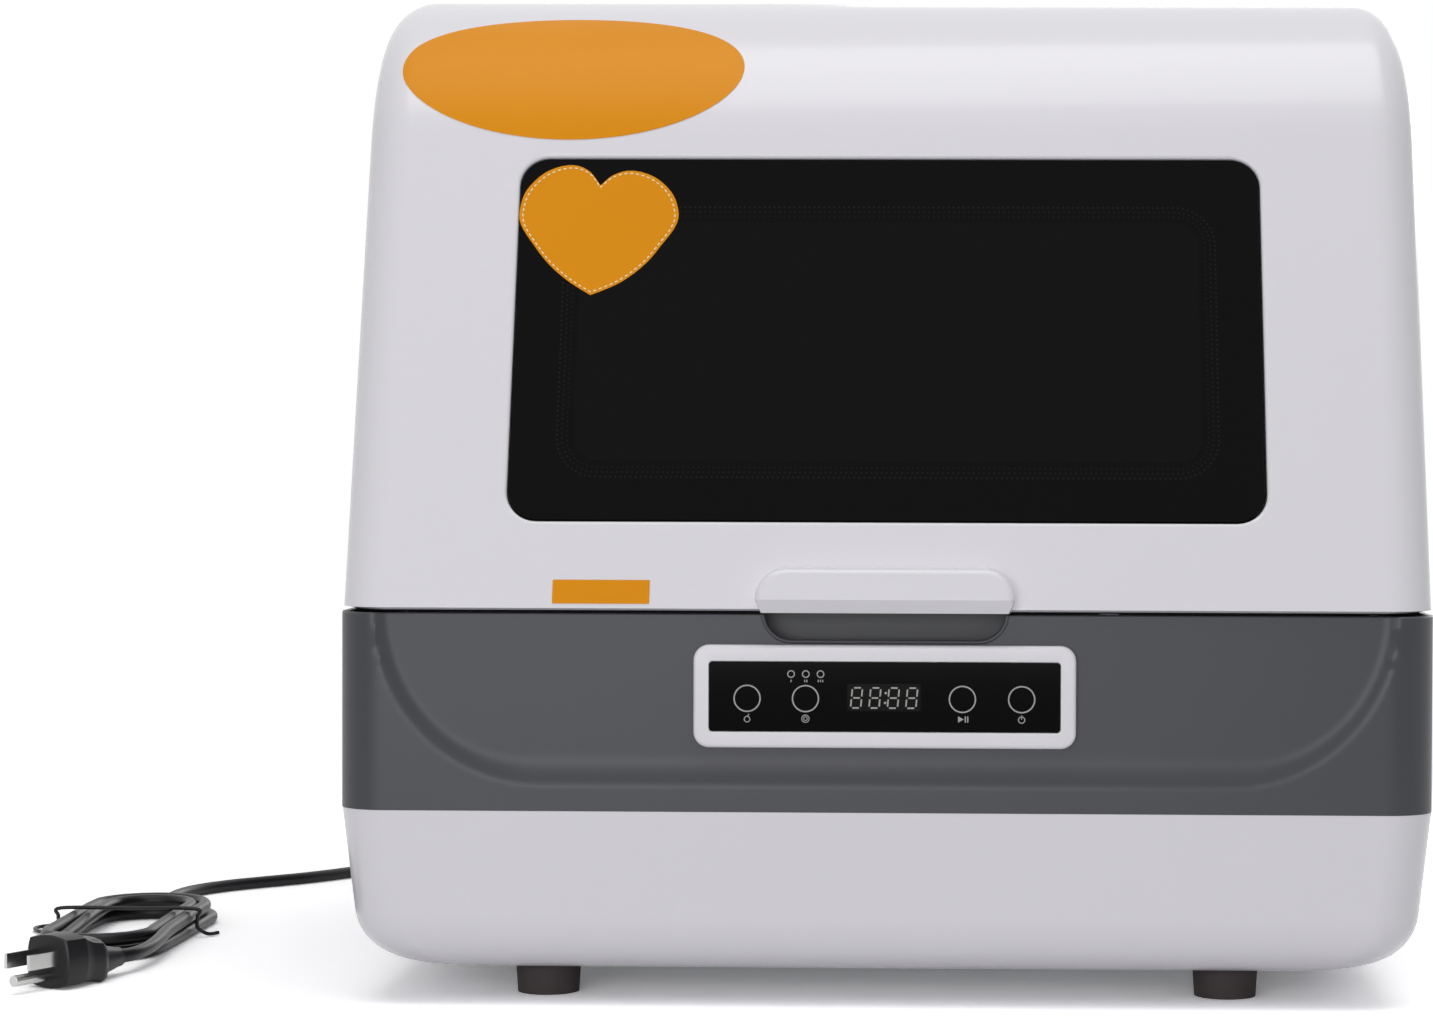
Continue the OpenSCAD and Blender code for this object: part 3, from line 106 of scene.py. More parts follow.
@dataclass(frozen=True)
class Finish:
    """One real material with the way its surface was made."""

    name: str
    colour: str
    rough: float
    surface: Surface = Surface.MOULDED
    grain_mm: float = 0.8
    relief_mm: float = 0.02
    drift: float = 0.03
    metallic: float = 0.0
    ior: float = 1.5
    coat: float = 0.0
    clear: float = 0.0
    second: str = ""
    specular: float = 0.5

    def material(self) -> bpy.types.Material:
        """Returns the finish's material, made the first time that it is asked for."""
        known = bpy.data.materials.get(self.name)
        if known:
            return known
        made = bpy.data.materials.new(self.name)
        made.use_nodes = True
        tree = made.node_tree
        tree.nodes.clear()
        place = add(tree, "ShaderNodeTexCoord").outputs["Object"]
        stretch = {Surface.BRUSHED: (0.04, 1.0, 1.0)}.get(self.surface, (1.0, 1.0, 1.0))
        grid = add(tree, "ShaderNodeMapping", {"Vector": place, "Scale": stretch}).outputs["Vector"]
        fine = add(
            tree,
            "ShaderNodeTexNoise",
            {"Vector": grid, "Scale": 1 / (self.grain_mm * MM), "Detail": 3.0, "Roughness": 0.55},
        ).outputs["Fac"]
        cloud = add(tree, "ShaderNodeTexNoise", {"Vector": place, "Scale": CLOUD_SCALE, "Detail": 2.0}).outputs["Fac"]
        base = linear(self.colour)
        low = tuple(c * (1 - self.drift) for c in base[:3]) + (1.0,)
        high = tuple(min(c * (1 + self.drift), 1.0) for c in base[:3]) + (1.0,)
        paint = add(tree, "ShaderNodeMix", {0: cloud, 6: low, 7: high}, data_type="RGBA").outputs[2]
        if self.surface is Surface.ETCHED:
            tracks = add(
                tree,
                "ShaderNodeTexBrick",
                {
                    "Vector": place,
                    "Scale": TRACK_SCALE,
                    "Mortar Size": 0.03,
                    "Color1": (1, 1, 1, 1),
                    "Color2": (0.8, 0.8, 0.8, 1),
                    "Mortar": (0, 0, 0, 1),
                },
            ).outputs["Color"]
            mixed = add(tree, "ShaderNodeMix", {0: tracks, 6: linear(self.second), 7: paint}, data_type="RGBA")
            paint = mixed.outputs[2]
        spread = add(
            tree,
            "ShaderNodeMapRange",
            {"Value": fine, "To Min": self.rough * 0.88, "To Max": min(self.rough * 1.12, 1.0)},
        ).outputs["Result"]
        bump = add(
            tree, "ShaderNodeBump", {"Strength": 1.0, "Distance": self.relief_mm * MM, "Height": fine}
        ).outputs["Normal"]
        shader = add(
            tree,
            "ShaderNodeBsdfPrincipled",
            {
                "Base Color": paint,
                "Roughness": spread,
                "Metallic": self.metallic,
                "Coat Weight": self.coat,
                "Coat Roughness": 0.08,
                "Specular IOR Level": self.specular,
                "Transmission Weight": self.clear,
                "Normal": bump,
            },
        )
        if not self.metallic:
            shader.inputs["IOR"].default_value = self.ior
        add(tree, "ShaderNodeOutputMaterial", {"Surface": shader.outputs[0]})
        return made


# White ABS, injection moulded in a polished tool: a soft gloss with a faint orange peel.
WHITE_ABS = Finish("white_abs_gloss", "#E9E7ED", 0.26, grain_mm=1.6, relief_mm=0.004, drift=0.006, coat=0.25)
# Grey ABS with a fine spark-eroded texture: the highlight spreads wide.
GREY_ABS = Finish("grey_abs_textured", "#3E3F44", 0.4, grain_mm=0.5, relief_mm=0.012, drift=0.02, specular=0.36)
# Tempered glass printed black on its back: deep, with sharp reflections.
BLACK_GLASS = Finish(
    "black_printed_glass", "#0D0D0E", 0.08, Surface.COATED, 6.0, 0.0005, 0.03, ior=1.52, specular=0.05
)
# The same glass over the touch keys, a shade deeper.
TOUCH_GLASS = Finish("black_touch_glass", "#070708", 0.07, Surface.COATED, 6.0, 0.0005, 0.03, ior=1.52, specular=0.04)
# Clear tempered glass.
CLEAR_GLASS = Finish("tempered_clear_glass", "#DDE6E6", 0.03, Surface.COATED, 8.0, 0.0005, 0.01, ior=1.52, clear=0.9)
# Type 304 stainless sheet, brushed along its length.
STAINLESS = Finish("brushed_stainless", "#B4B6B8", 0.3, Surface.BRUSHED, 0.5, 0.01, 0.02, metallic=1.0)
# Zinc plated steel: duller, slightly blotchy.
ZINC = Finish("zinc_plated_steel", "#A6AAAD", 0.42, Surface.COATED, 1.2, 0.01, 0.06, metallic=1.0)
# Glass-filled polypropylene, black: matt and slightly rough.
BLACK_PP = Finish("black_polypropylene", "#26272A", 0.55, grain_mm=0.7, relief_mm=0.02, drift=0.05)
# Natural polypropylene, milky and waxy.
NATURAL_PP = Finish("natural_polypropylene", "#D6D8DA", 0.42, grain_mm=0.9, relief_mm=0.01, drift=0.02)
# Pale ABS of the door's inner wall.
LINER_ABS = Finish("pale_abs_satin", "#DCDDE0", 0.38, grain_mm=1.0, relief_mm=0.008, drift=0.01)
# Bezel: white ABS a shade cooler than the hood.
BEZEL_ABS = Finish("bezel_abs_gloss", "#E6E4EA", 0.26, grain_mm=1.2, relief_mm=0.003, drift=0.006, coat=0.2)
# Grey polypropylene of the cutlery basket.
GREY_PP = Finish("grey_polypropylene", "#B2B4B8", 0.5, grain_mm=0.8, relief_mm=0.015, drift=0.03)
# Display window: dark smoked acrylic.
SMOKED = Finish("smoked_acrylic", "#2A2B2F", 0.12, Surface.COATED, 4.0, 0.001, 0.02)
# FR4 board under green solder mask.
BOARD = Finish("fr4_solder_mask", "#1E5A3A", 0.35, Surface.ETCHED, 0.6, 0.01, 0.05, second="#3E8A5C")
# EPDM rubber of the seal: matt, grey.
SEAL_EPDM = Finish("grey_epdm", "#6C6E72", 0.7, grain_mm=0.4, relief_mm=0.02, drift=0.05)
# Black strip in the seam under the hood, painted shade: a sheet that darkens the gap where shade falls between hood
# and belt.
SEAM_SHADE_PAINT = Finish("painted_seam_shade", "#0B0B0C", 0.85, grain_mm=0.4, relief_mm=0.02, drift=0.05, specular=0.1)
# Feet: dark brown-grey rubber with a dusty bloom.
FOOT_RUBBER = Finish("grey_foot_rubber", "#4A4444", 0.72, grain_mm=0.5, relief_mm=0.03, drift=0.1, specular=0.15)
# PVC of the cord and plug: black with a soft sheen.
CORD_PVC = Finish("black_pvc", "#111114", 0.38, grain_mm=1.1, relief_mm=0.01, drift=0.05, specular=0.28)
# Printed marks on the touch glass: grey ink.
PRINT_GREY = Finish("grey_ink", "#A6A6A8", 0.5, Surface.COATED, 1.0, 0.002, 0.05)
# Unlit display segments: milky plastic.
SEGMENT_GREY = Finish("unlit_segment", "#A3A39E", 0.45, Surface.COATED, 1.0, 0.002, 0.05)
# The display's own window, a shade paler than the glass.
FIELD_BLACK = Finish("display_window", "#121213", 0.12, Surface.COATED, 4.0, 0.001, 0.03, specular=0.05)
# The clear field of the hood's window, dark because the tub is unlit.
FIELD_GLASS = Finish("dark_window_field", "#111112", 0.09, Surface.COATED, 6.0, 0.0005, 0.03, ior=1.52, specular=0.05)
# Dots of black ceramic ink.
DOT_PRINT = Finish("ceramic_ink_dots", "#161617", 0.3, Surface.COATED, 1.0, 0.001, 0.05, specular=0.1)
# Orange printed paper label under gloss film.
LABEL_ORANGE = Finish("orange_label_film", "#E89500", 0.4, Surface.COATED, 2.0, 0.002, 0.03, specular=0.2)
# Cream ink of the stitched line.
LABEL_CREAM = Finish("cream_ink", "#F7E3B4", 0.4, Surface.COATED, 1.0, 0.001, 0.02)
# Nickel plated brass of the plug's blades.
NICKEL = Finish("nickel_plated_brass", "#BDBDBB", 0.22, Surface.BRUSHED, 0.4, 0.006, 0.03, metallic=1.0)


def piece(name: str, mesh: bpy.types.Mesh | bpy.types.Curve, finish: Finish, body: str) -> bpy.types.Object:
    """Puts a finished mesh or curve into the scene as a piece.

    Args:
        name: The piece's name.
        mesh: Its data, placed in the frame.
        finish: What it is made of.
        body: The body that it rides on.

    Returns:
        The new object.
    """
    made = linked(name, mesh)
    made.data.materials.append(finish.material())
    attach(made, body)
    return made


def smooth_path(points: list[Vector], steps: int) -> list[Vector]:
    """Runs a smooth line through points.

    Args:
        points: The points that it passes.
        steps: How many short pieces each stretch is cut into.

    Returns:
        The points of the smooth line.
    """
    made = []
    for i in range(len(points) - 1):
        a, b = points[max(i - 1, 0)], points[i]
        c, d = points[i + 1], points[min(i + 2, len(points) - 1)]
        for k in range(steps):
            t = k / steps
            bend = (2 * a - 5 * b + 4 * c - d) * t**2 + (3 * b - a - 3 * c + d) * t**3
            made.append(0.5 * (2 * b + (c - a) * t + bend))
    return [*made, points[-1]]


def wire(name: str, points: list[Vector], radius: float, finish: Finish, body: str) -> bpy.types.Object:
    """Makes a round wire or cable as a curve along points in metres."""
    curve = bpy.data.curves.new(name, "CURVE")
    curve.dimensions = "3D"
    curve.bevel_depth = radius
    curve.bevel_resolution = 5
    curve.use_fill_caps = True
    spline = curve.splines.new("POLY")
    spline.points.add(len(points) - 1)
    for spot, p in zip(spline.points, points):
        spot.co = (*p, 1.0)
    spline.use_smooth = True
    return piece(name, curve, finish, body)


# ---------- Shaping ----------


def only(geom: list, kind: type) -> list:
    """The items of one kind in a mixed list of vertices, edges and faces."""
    return [g for g in geom if isinstance(g, kind)]


def outward(shape: BMesh) -> None:
    """Turns a shape's faces outwards."""
    bmesh.ops.recalc_face_normals(shape, faces=shape.faces)


def thicken(shape: BMesh, thickness: float) -> BMesh:
    """Gives an open skin a wall and returns it."""
    bmesh.ops.solidify(shape, geom=shape.faces[:], thickness=thickness)
    outward(shape)
    return shape


def shift(x: float, y: float, z: float) -> Matrix:
    """A move by three lengths."""
    return Matrix.Translation((x, y, z))


def rotation(degrees: float, axis: str) -> Matrix:
    """A turn about one axis."""
    return Matrix.Rotation(math.radians(degrees), 4, axis)


def plate(width: float, height: float, corner: float, depth: float, segments: int = 8) -> BMesh:
    """Makes a plate with round corners, centred on X and Y, from z = 0 down to -depth.

    Args:
        width: Size along X.
        height: Size along Y.
        corner: Radius of its corners.
        depth: Thickness.
        segments: Faces round each corner.

    Returns:
        The plate, in millimetres.
    """
    shape = bmesh.new()
    bmesh.ops.create_grid(shape, x_segments=1, y_segments=1, size=0.5)
    bmesh.ops.scale(shape, vec=(width, height, 1), verts=shape.verts)
    bmesh.ops.bevel(
        shape, geom=shape.verts[:], offset=corner, segments=segments, profile=0.5, affect="VERTICES", material=-1
    )
    if depth:
        pushed = bmesh.ops.extrude_face_region(shape, geom=shape.faces[:])["geom"]
        bmesh.ops.translate(shape, vec=(0, 0, -depth), verts=only(pushed, BMVert))
    outward(shape)
    return shape


def round_edges(shape: BMesh, edges: list[BMEdge], radius: float, segments: int) -> None:
    """Rounds edges by a radius."""
    bmesh.ops.bevel(
        shape,
        geom=edges,
        offset=radius,
        segments=segments,
        profile=0.5,
        affect="EDGES",
        material=-1,
        clamp_overlap=True,
    )


def every(item: BMEdge | BMFace, test: Callable[[Vector], bool]) -> bool:
    """Whether a test holds at every corner of an edge or a face."""
    return all(test(v.co) for v in item.verts)


def shell(shape: BMesh, half: float, corner: float, is_open: Callable[[BMEdge | BMFace], bool]) -> BMesh:
    """Makes a closed block into a hollow shell.

    Args:
        shape: The block.
        half: Half of its width.
        corner: Radius of the edges that run along both of its sides.
        is_open: Tells which edges and faces belong to its open sides.

    Returns:
        The same shape, with a wall.
    """
    sides = [
        e
        for e in shape.edges
        if every(e, lambda c: abs(c.x) > half - 0.01)
        and abs(e.verts[0].co.x - e.verts[1].co.x) < 1
        and not is_open(e)
    ]
    round_edges(shape, sides, corner, 14)
    bmesh.ops.delete(shape, geom=[f for f in shape.faces if is_open(f)], context="FACES")
    outward(shape)
    return thicken(shape, WALL)


def sharp(shape: BMesh, angle: float = 30.0) -> list[BMEdge]:
    """Edges whose two faces meet at more than an angle in degrees."""
    limit = math.radians(angle)
    return [e for e in shape.edges if len(e.link_faces) == 2 and e.calc_face_angle(0) > limit]


def place(shape: BMesh, matrix: Matrix) -> BMesh:
    """Moves a shape by a matrix in millimetres and returns it."""
    bmesh.ops.transform(shape, matrix=matrix, verts=shape.verts)
    return shape


def block(low: Point, high: Point) -> BMesh:
    """Makes a box between two corners."""
    shape = bmesh.new()
    bmesh.ops.create_cube(shape, size=1.0)
    a, b = Vector(low), Vector(high)
    bmesh.ops.scale(shape, vec=b - a, verts=shape.verts)
    bmesh.ops.translate(shape, vec=(a + b) / 2, verts=shape.verts)
    return shape


def rod(radius: float, start: Point, end: Point, segments: int = 32) -> BMesh:
    """Makes a round bar between two points."""
    shape = bmesh.new()
    a, b = Vector(start), Vector(end)
    bmesh.ops.create_cone(
        shape, cap_ends=True, segments=segments, radius1=radius, radius2=radius, depth=(b - a).length
    )
    return place(shape, Matrix.Translation((a + b) / 2) @ (b - a).to_track_quat("Z", "Y").to_matrix().to_4x4())


def trim(shape: BMesh, height: float, keep_over: bool = True) -> BMesh:
    """Cuts a closed shape level at a height and closes the cut.

    Args:
        shape: The shape.
        height: Where it is cut.
        keep_over: Whether the part over the cut stays, or the part under it.

    Returns:
        The same shape.
    """
    cut = bmesh.ops.bisect_plane(
        shape,
        geom=[*shape.verts, *shape.edges, *shape.faces],
        plane_co=(0, 0, height),
        plane_no=(0, 0, 1),
        clear_inner=keep_over,
        clear_outer=not keep_over,
    )
    bmesh.ops.contextual_create(shape, geom=only(cut["geom_cut"], BMEdge))
    outward(shape)
    return shape


def join(first: BMesh, *others: BMesh) -> BMesh:
    """Adds other shapes to the first one and returns it."""
    for other in others:
        spare = bpy.data.meshes.new("spare")
        other.to_mesh(spare)
        other.free()
        first.from_mesh(spare)
        bpy.data.meshes.remove(spare)
    return first


def baked(shape: BMesh, name: str) -> bpy.types.Object:
    """Makes a loose object, in millimetres, of a shape."""
    mesh = bpy.data.meshes.new(name)
    shape.to_mesh(mesh)
    shape.free()
    return linked(name, mesh)


def carve(shape: BMesh, *cutters: BMesh) -> BMesh:
    """Cuts closed shapes out of a closed shape.

    Args:
        shape: The shape to cut, which is used up.
        cutters: The shapes to take away, which are used up.

    Returns:
        What is left.
    """
    work = baked(shape, "work")
    tools = [baked(c, "cutter") for c in cutters]
    for tool in tools:
        cut = work.modifiers.new("cut", "BOOLEAN")
        cut.operation, cut.solver, cut.object = "DIFFERENCE", "EXACT", tool
    left = bmesh.new()
    left.from_mesh(work.evaluated_get(bpy.context.evaluated_depsgraph_get()).to_mesh())
    for spent in [work, *tools]:
        bpy.data.objects.remove(spent)
    bmesh.ops.remove_doubles(left, verts=left.verts, dist=0.0005)
    return left


def form(
    name: str,
    shape: BMesh,
    finish: Finish,
    body: str,
    replaced: tuple[str, ...] = (),
    angle: float = 32.0,
) -> bpy.types.Object:
    """Turns a shape in millimetres into a finished piece.

    Args:
        name: The piece's name.
        shape: The shape, which is used up.
        finish: What it is made of.
        body: The body that it rides on.
        replaced: The CAD nodes that it stands for.
        angle: Edges that meet at more than this stay crisp.

    Returns:
        The piece.
    """
    bmesh.ops.scale(shape, vec=(MM, MM, MM), verts=shape.verts)
    crisp = {e for e in sharp(shape, angle)}
    for edge in shape.edges:
        edge.smooth = edge not in crisp
    for face in shape.faces:
        face.smooth = True
    mesh = bpy.data.meshes.new(name)
    shape.to_mesh(mesh)
    shape.free()
    made = piece(name, mesh, finish, body)
    weigh = made.modifiers.new("even_shading", "WEIGHTED_NORMAL")
    weigh.keep_sharp = True
    if replaced:
        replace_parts(made, *replaced)
    return made


def facing(x: float, y: float, z: float) -> Matrix:
    """Stands a plate on a wall that faces the front, at a place in millimetres."""
    return shift(x, y, z) @ rotation(90, "X")


@dataclass
class Cord:
    """The mains cord with its tied hank, in millimetres as the part's source has it."""

    rear: float = 214.0
    cord_d: float = 6.0
    exit_x: float = -175.0
    exit_z: float = 35.0
    hank_centre: tuple[float, float] = (-358.0, -16.0)
    hank_run: float = 90.0
    hank_turns: float = 3.2
    laps: int = 24
    plug_at: tuple[float, float, float] = (-343.0, -138.0, 11.5)
    plug_turn: float = 28.0
    route: list[Vector] = field(default_factory=list)

    def radius(self, t: float) -> float:
        """Radius of the hank's folds after t turns."""
        return 3 * self.cord_d + (self.cord_d + 0.6) * abs(t - self.hank_turns / 2)

    def lap(self, u: float, r: float) -> tuple[float, float]:
        """Place in one turn of the hank, u from 0 to 1, for folds of radius r."""
        run = self.hank_run
        s, fold = u * (2 * run + 2 * math.pi * r), math.pi * r
        if s < run:
            return r, run / 2 - s
        if s < run + fold:
            a = (s - run) / r
            return r * math.cos(a), -run / 2 - r * math.sin(a)
        if s < 2 * run + fold:
            return -r, -run / 2 + s - run - fold
        a = (s - 2 * run - fold) / r
        return -r * math.cos(a), run / 2 + r * math.sin(a)

    def hank(self) -> list[Vector]:
        """The hank's points: in on the worktop and out again one layer up."""
        low = self.cord_d / 2 + 0.05
        points = []
        for i in range(int((self.hank_turns + 0.04) * self.laps) + 1):
            t = i / self.laps
            x, y = self.lap(t - math.floor(t), self.radius(t))
            u = min(max((t - self.hank_turns / 2 + 0.3) / 0.45, 0), 1)
            z = low + (self.cord_d + 0.5) * u * u * (3 - 2 * u)
            points.append(Vector((self.hank_centre[0] + x, self.hank_centre[1] + y, z)))
        return points

    def lay(self) -> list[Vector]:
        """The whole route in metres, from the strain relief to the plug."""
        rear, low, x0, z0 = self.rear, self.cord_d / 2 + 0.05, self.exit_x, self.exit_z
        hank = self.hank()
        out = [
            (x0, rear + 26, z0), (x0 - 0.5, rear + 37, z0 - 1.5), (x0 - 3.5, rear + 49, z0 - 7),
            (-186, rear + 59, z0 - 15.5), (-198, rear + 66, z0 - 23.5), (-213, rear + 68, z0 - 29.5),
            (-229, rear + 64, low), (-244, rear + 56, low), (-258, rear + 45, low), (-271, rear + 31, low),
            (-283, rear + 14, low), (-297, rear - 6, low), (-313, rear - 26, low), (-330, rear - 42, low),
            (-346, rear - 58, low), (-358, rear - 76, low), (-364, rear - 96, low), (-363, rear - 116, low),
            (-356, rear - 133, low), (-346.5, rear - 147, low), (-337.5, rear - 159, low),
            (hank[0].x - 1.8, rear - 169, low), (hank[0].x, rear - 177, low),
        ]
        turn = math.radians(self.plug_turn)
        back = Vector(self.plug_at) + Vector((PLUG_TAIL * math.sin(turn), PLUG_TAIL * math.cos(turn), -PLUG_DROP))
        end = hank[-1]
        tail = [end + Vector(v) for v in ((0.3, -13, -0.3), (1.4, -28, -0.8), (1.9, -43, -1.2), (1.3, -56, -1.5))]
        points = [Vector(p) for p in out] + hank + tail + [back + Vector((4.4, 8.3, 0)), back]
        return [p * MM for p in smooth_path(points, 4)]

    def tie(self) -> bpy.types.Object:
        """The wire tie round the hank, with its twisted tail."""
        cx, y = self.hank_centre[0], self.hank_centre[1] + 6
        reach = self.radius(0) + self.cord_d / 2 + 1.2
        x0, x1, top = cx - reach, cx + reach, 1.5 * self.cord_d + 4.7
        points = [
            (x0 - 10, y + 30, 1.4), (x0 - 16, y + 20, 1.4), (x0 - 12, y + 9, 1.4), (x0 - 5, y + 3, 1.6),
            (x0, y, 5), (x0, y, 10), (x0 + 1.5, y, top), (cx, y, top), (x1 - 1.5, y, top), (x1, y, 10),
            (x1, y, 5), (x1 + 4, y + 3, 1.6), (x1 + 8, y + 8, 1.4),
        ]
        line = [p * MM for p in smooth_path([Vector(p) for p in points], 6)]
        made = wire("hank_tie", line, 0.9 * MM, CORD_PVC, "housing")
        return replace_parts(made, "twist_tie")

    def build(self) -> None:
        self.route = self.lay()
        cord = wire("mains_cord", self.route, self.cord_d / 2 * MM, CORD_PVC, "housing")
        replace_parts(cord, "power_cord", "cord_hank", "cord_tail")
        tie = self.tie()


@dataclass
class Studio:
    """Camera as the photograph was taken, soft light and a pale floor."""

    eye: tuple[float, float, float] = (0.028, -1.578, 0.2294)
    focal_px: float = 3374.0
    yaw: float = 1.25
    pitch: float = -1.06
    roll: float = 0.2
    shift: float = -0.1144
    fill: float = 0.26
    lift: str = "#F2F2F3"
    glow: float = 0.07
    # Each lamp's name, place and height of its aim in metres, size in metres and power in watts.
    lamps: tuple[tuple[str, Point, float, tuple[float, float], float], ...] = (
        ("top_light", (0.1, -0.4, 1.9), 0.2, (2.0, 1.2), 14.6),
        ("front_light", (-0.5, -2.4, 0.4), 0.18, (1.6, 0.8), 17.8),
        ("rear_light", (0.7, 2.3, 1.0), 0.2, (1.6, 1.0), 11.0),
    )

    def camera(self) -> None:
        """Makes the camera."""
        data = bpy.data.cameras.new("photograph")
        data.sensor_width = SENSOR
        data.lens = self.focal_px / IMAGE_WIDTH * SENSOR
        data.shift_x = self.shift
        data.clip_end = 100.0
        turn = rotation(self.yaw, "Z") @ rotation(90 + self.pitch, "X") @ rotation(self.roll, "Z")
        made = linked("photograph", data)
        made.matrix_world = Matrix.Translation(self.eye) @ turn
        bpy.context.scene.camera = made

    def lamp(self, name: str, at: Vector, aim: Vector, size: tuple[float, float], power: float) -> None:
        """Adds a soft rectangular lamp that looks at a point."""
        data = bpy.data.lights.new(name, "AREA")
        data.shape, data.size, data.size_y, data.energy = "RECTANGLE", size[0], size[1], power
        turn = (aim - at).to_track_quat("-Z", "Y").to_matrix().to_4x4()
        linked(name, data).matrix_world = Matrix.Translation(at) @ turn

    @staticmethod
    def seen(tree: bpy.types.NodeTree) -> bpy.types.NodeSocket:
        """An output that is 1 for camera, glossy and see-through rays."""
        path = add(tree, "ShaderNodeLightPath").outputs
        rays = {0: path["Is Camera Ray"], 1: path["Is Transmission Ray"]}
        first = add(tree, "ShaderNodeMath", rays, operation="MAXIMUM")
        both = add(tree, "ShaderNodeMath", {0: first.outputs[0], 1: path["Is Glossy Ray"]}, operation="MAXIMUM")
        return both.outputs[0]

    def world(self) -> None:
        """A pale room that camera, glossy and see-through rays see as white."""
        made = bpy.data.worlds.new("room")
        made.use_nodes = True
        tree = made.node_tree
        tree.nodes.clear()
        fill = add(tree, "ShaderNodeBackground", {"Color": WHITE, "Strength": self.fill})
        white = add(tree, "ShaderNodeBackground", {"Color": WHITE, "Strength": 1.0})
        both = add(tree, "ShaderNodeMixShader", {0: self.seen(tree), 1: fill.outputs[0], 2: white.outputs[0]})
        add(tree, "ShaderNodeOutputWorld", {"Surface": both.outputs[0]})
        bpy.context.scene.world = made

    def floor(self) -> None:
        """A white worktop that keeps the machine's shadow and turns plain white away from it."""
        shape = bmesh.new()
        bmesh.ops.create_grid(shape, x_segments=1, y_segments=1, size=20.0)
        made = baked(shape, "floor")
        paint = bpy.data.materials.new("floor_paper")
        paint.use_nodes = True
        tree = paint.node_tree
        tree.nodes.clear()
        diffuse = add(tree, "ShaderNodeBsdfDiffuse", {"Color": linear("#D3D3D5")})
        pale = add(tree, "ShaderNodeBsdfDiffuse", {"Color": WHITE})
        lift = add(tree, "ShaderNodeBsdfDiffuse", {"Color": linear(self.lift)})
        white = add(tree, "ShaderNodeEmission", {"Color": WHITE, "Strength": 1.0})
        glow = add(tree, "ShaderNodeEmission", {"Color": WHITE, "Strength": self.glow})
        twice = add(tree, "ShaderNodeAddShader", {0: pale.outputs[0], 1: lift.outputs[0]})
        near = add(tree, "ShaderNodeAddShader", {0: twice.outputs[0], 1: glow.outputs[0]})
        place_on = add(tree, "ShaderNodeTexCoord").outputs["Object"]
        away = add(tree, "ShaderNodeVectorMath", {0: place_on}, operation="LENGTH").outputs["Value"]
        fade = add(tree, "ShaderNodeMapRange", {"Value": away, "From Min": 0.6, "From Max": 1.0}).outputs["Result"]
        view = add(tree, "ShaderNodeMixShader", {0: fade, 1: near.outputs[0], 2: white.outputs[0]})
        both = add(tree, "ShaderNodeMixShader", {0: self.seen(tree), 1: diffuse.outputs[0], 2: view.outputs[0]})
        add(tree, "ShaderNodeOutputMaterial", {"Surface": both.outputs[0]})
        made.data.materials.append(paint)

    def build(self) -> None:
        """Sets up the whole studio."""
        self.camera()
        self.world()
        self.floor()
        for name, at, aim_z, size, power in self.lamps:
            self.lamp(name, Vector(at), Vector((0, 0, aim_z)), size, power)
        bpy.context.scene.view_settings.view_transform = "Standard"


@dataclass(frozen=True)
class Outer:
    """Sizes of the body that its shells share, in millimetres."""

    half: float = 225.0
    front: float = -206.0
    rear: float = 214.0
    top: float = 430.0
    belt_z: float = 81.5
    belt_top: float = 163.0
    proud: float = 0.6
    corner: float = 20.0
    lean: float = 18.0
    hood_z: float = 164.5
    brow: float = 95.0
    back: float = 30.0
    split: float = 113.5

    @property
    def brow_centre(self) -> tuple[float, float]:
        """Centre of the brow's arc in Y and Z."""
        z, a = self.top - self.brow, math.radians(self.lean)
        return self.front + self.proud + (z - self.hood_z) * math.tan(a) + self.brow / math.cos(a), z

    def on_lean(self, x: float, along: float, out: float = 0.0) -> Matrix:
        """Places a plate on the leaning front: along it from the hood's lower edge, and out of its skin."""
        base = shift(0, self.front + self.proud, self.hood_z) @ rotation(90 - self.lean, "X")
        return base @ shift(x, along, out)

    def skin(self, x: float, along: float, out: float = 0.0) -> Vector:
        """A point on the hood's skin, from its lower edge up the lean and over the brow."""
        a = math.radians(self.lean)
        cy, cz = self.brow_centre
        lean_length = (cz + self.brow * math.sin(a) - self.hood_z) / math.cos(a)
        flat = self.half - self.proud - self.corner
        inset = self.corner - math.sqrt(max(self.corner**2 - max(abs(x) - flat, 0) ** 2, 0))
        if along < lean_length:
            foot = Vector((x, self.front + self.proud + along * math.sin(a), self.hood_z + along * math.cos(a)))
            return foot + Vector((0, -math.cos(a), math.sin(a))) * (out - inset)
        turn = a + (along - lean_length) / self.brow
        reach = self.brow - inset + out
        return Vector((x, cy - reach * math.cos(turn), cz + reach * math.sin(turn)))


OUTER = Outer()


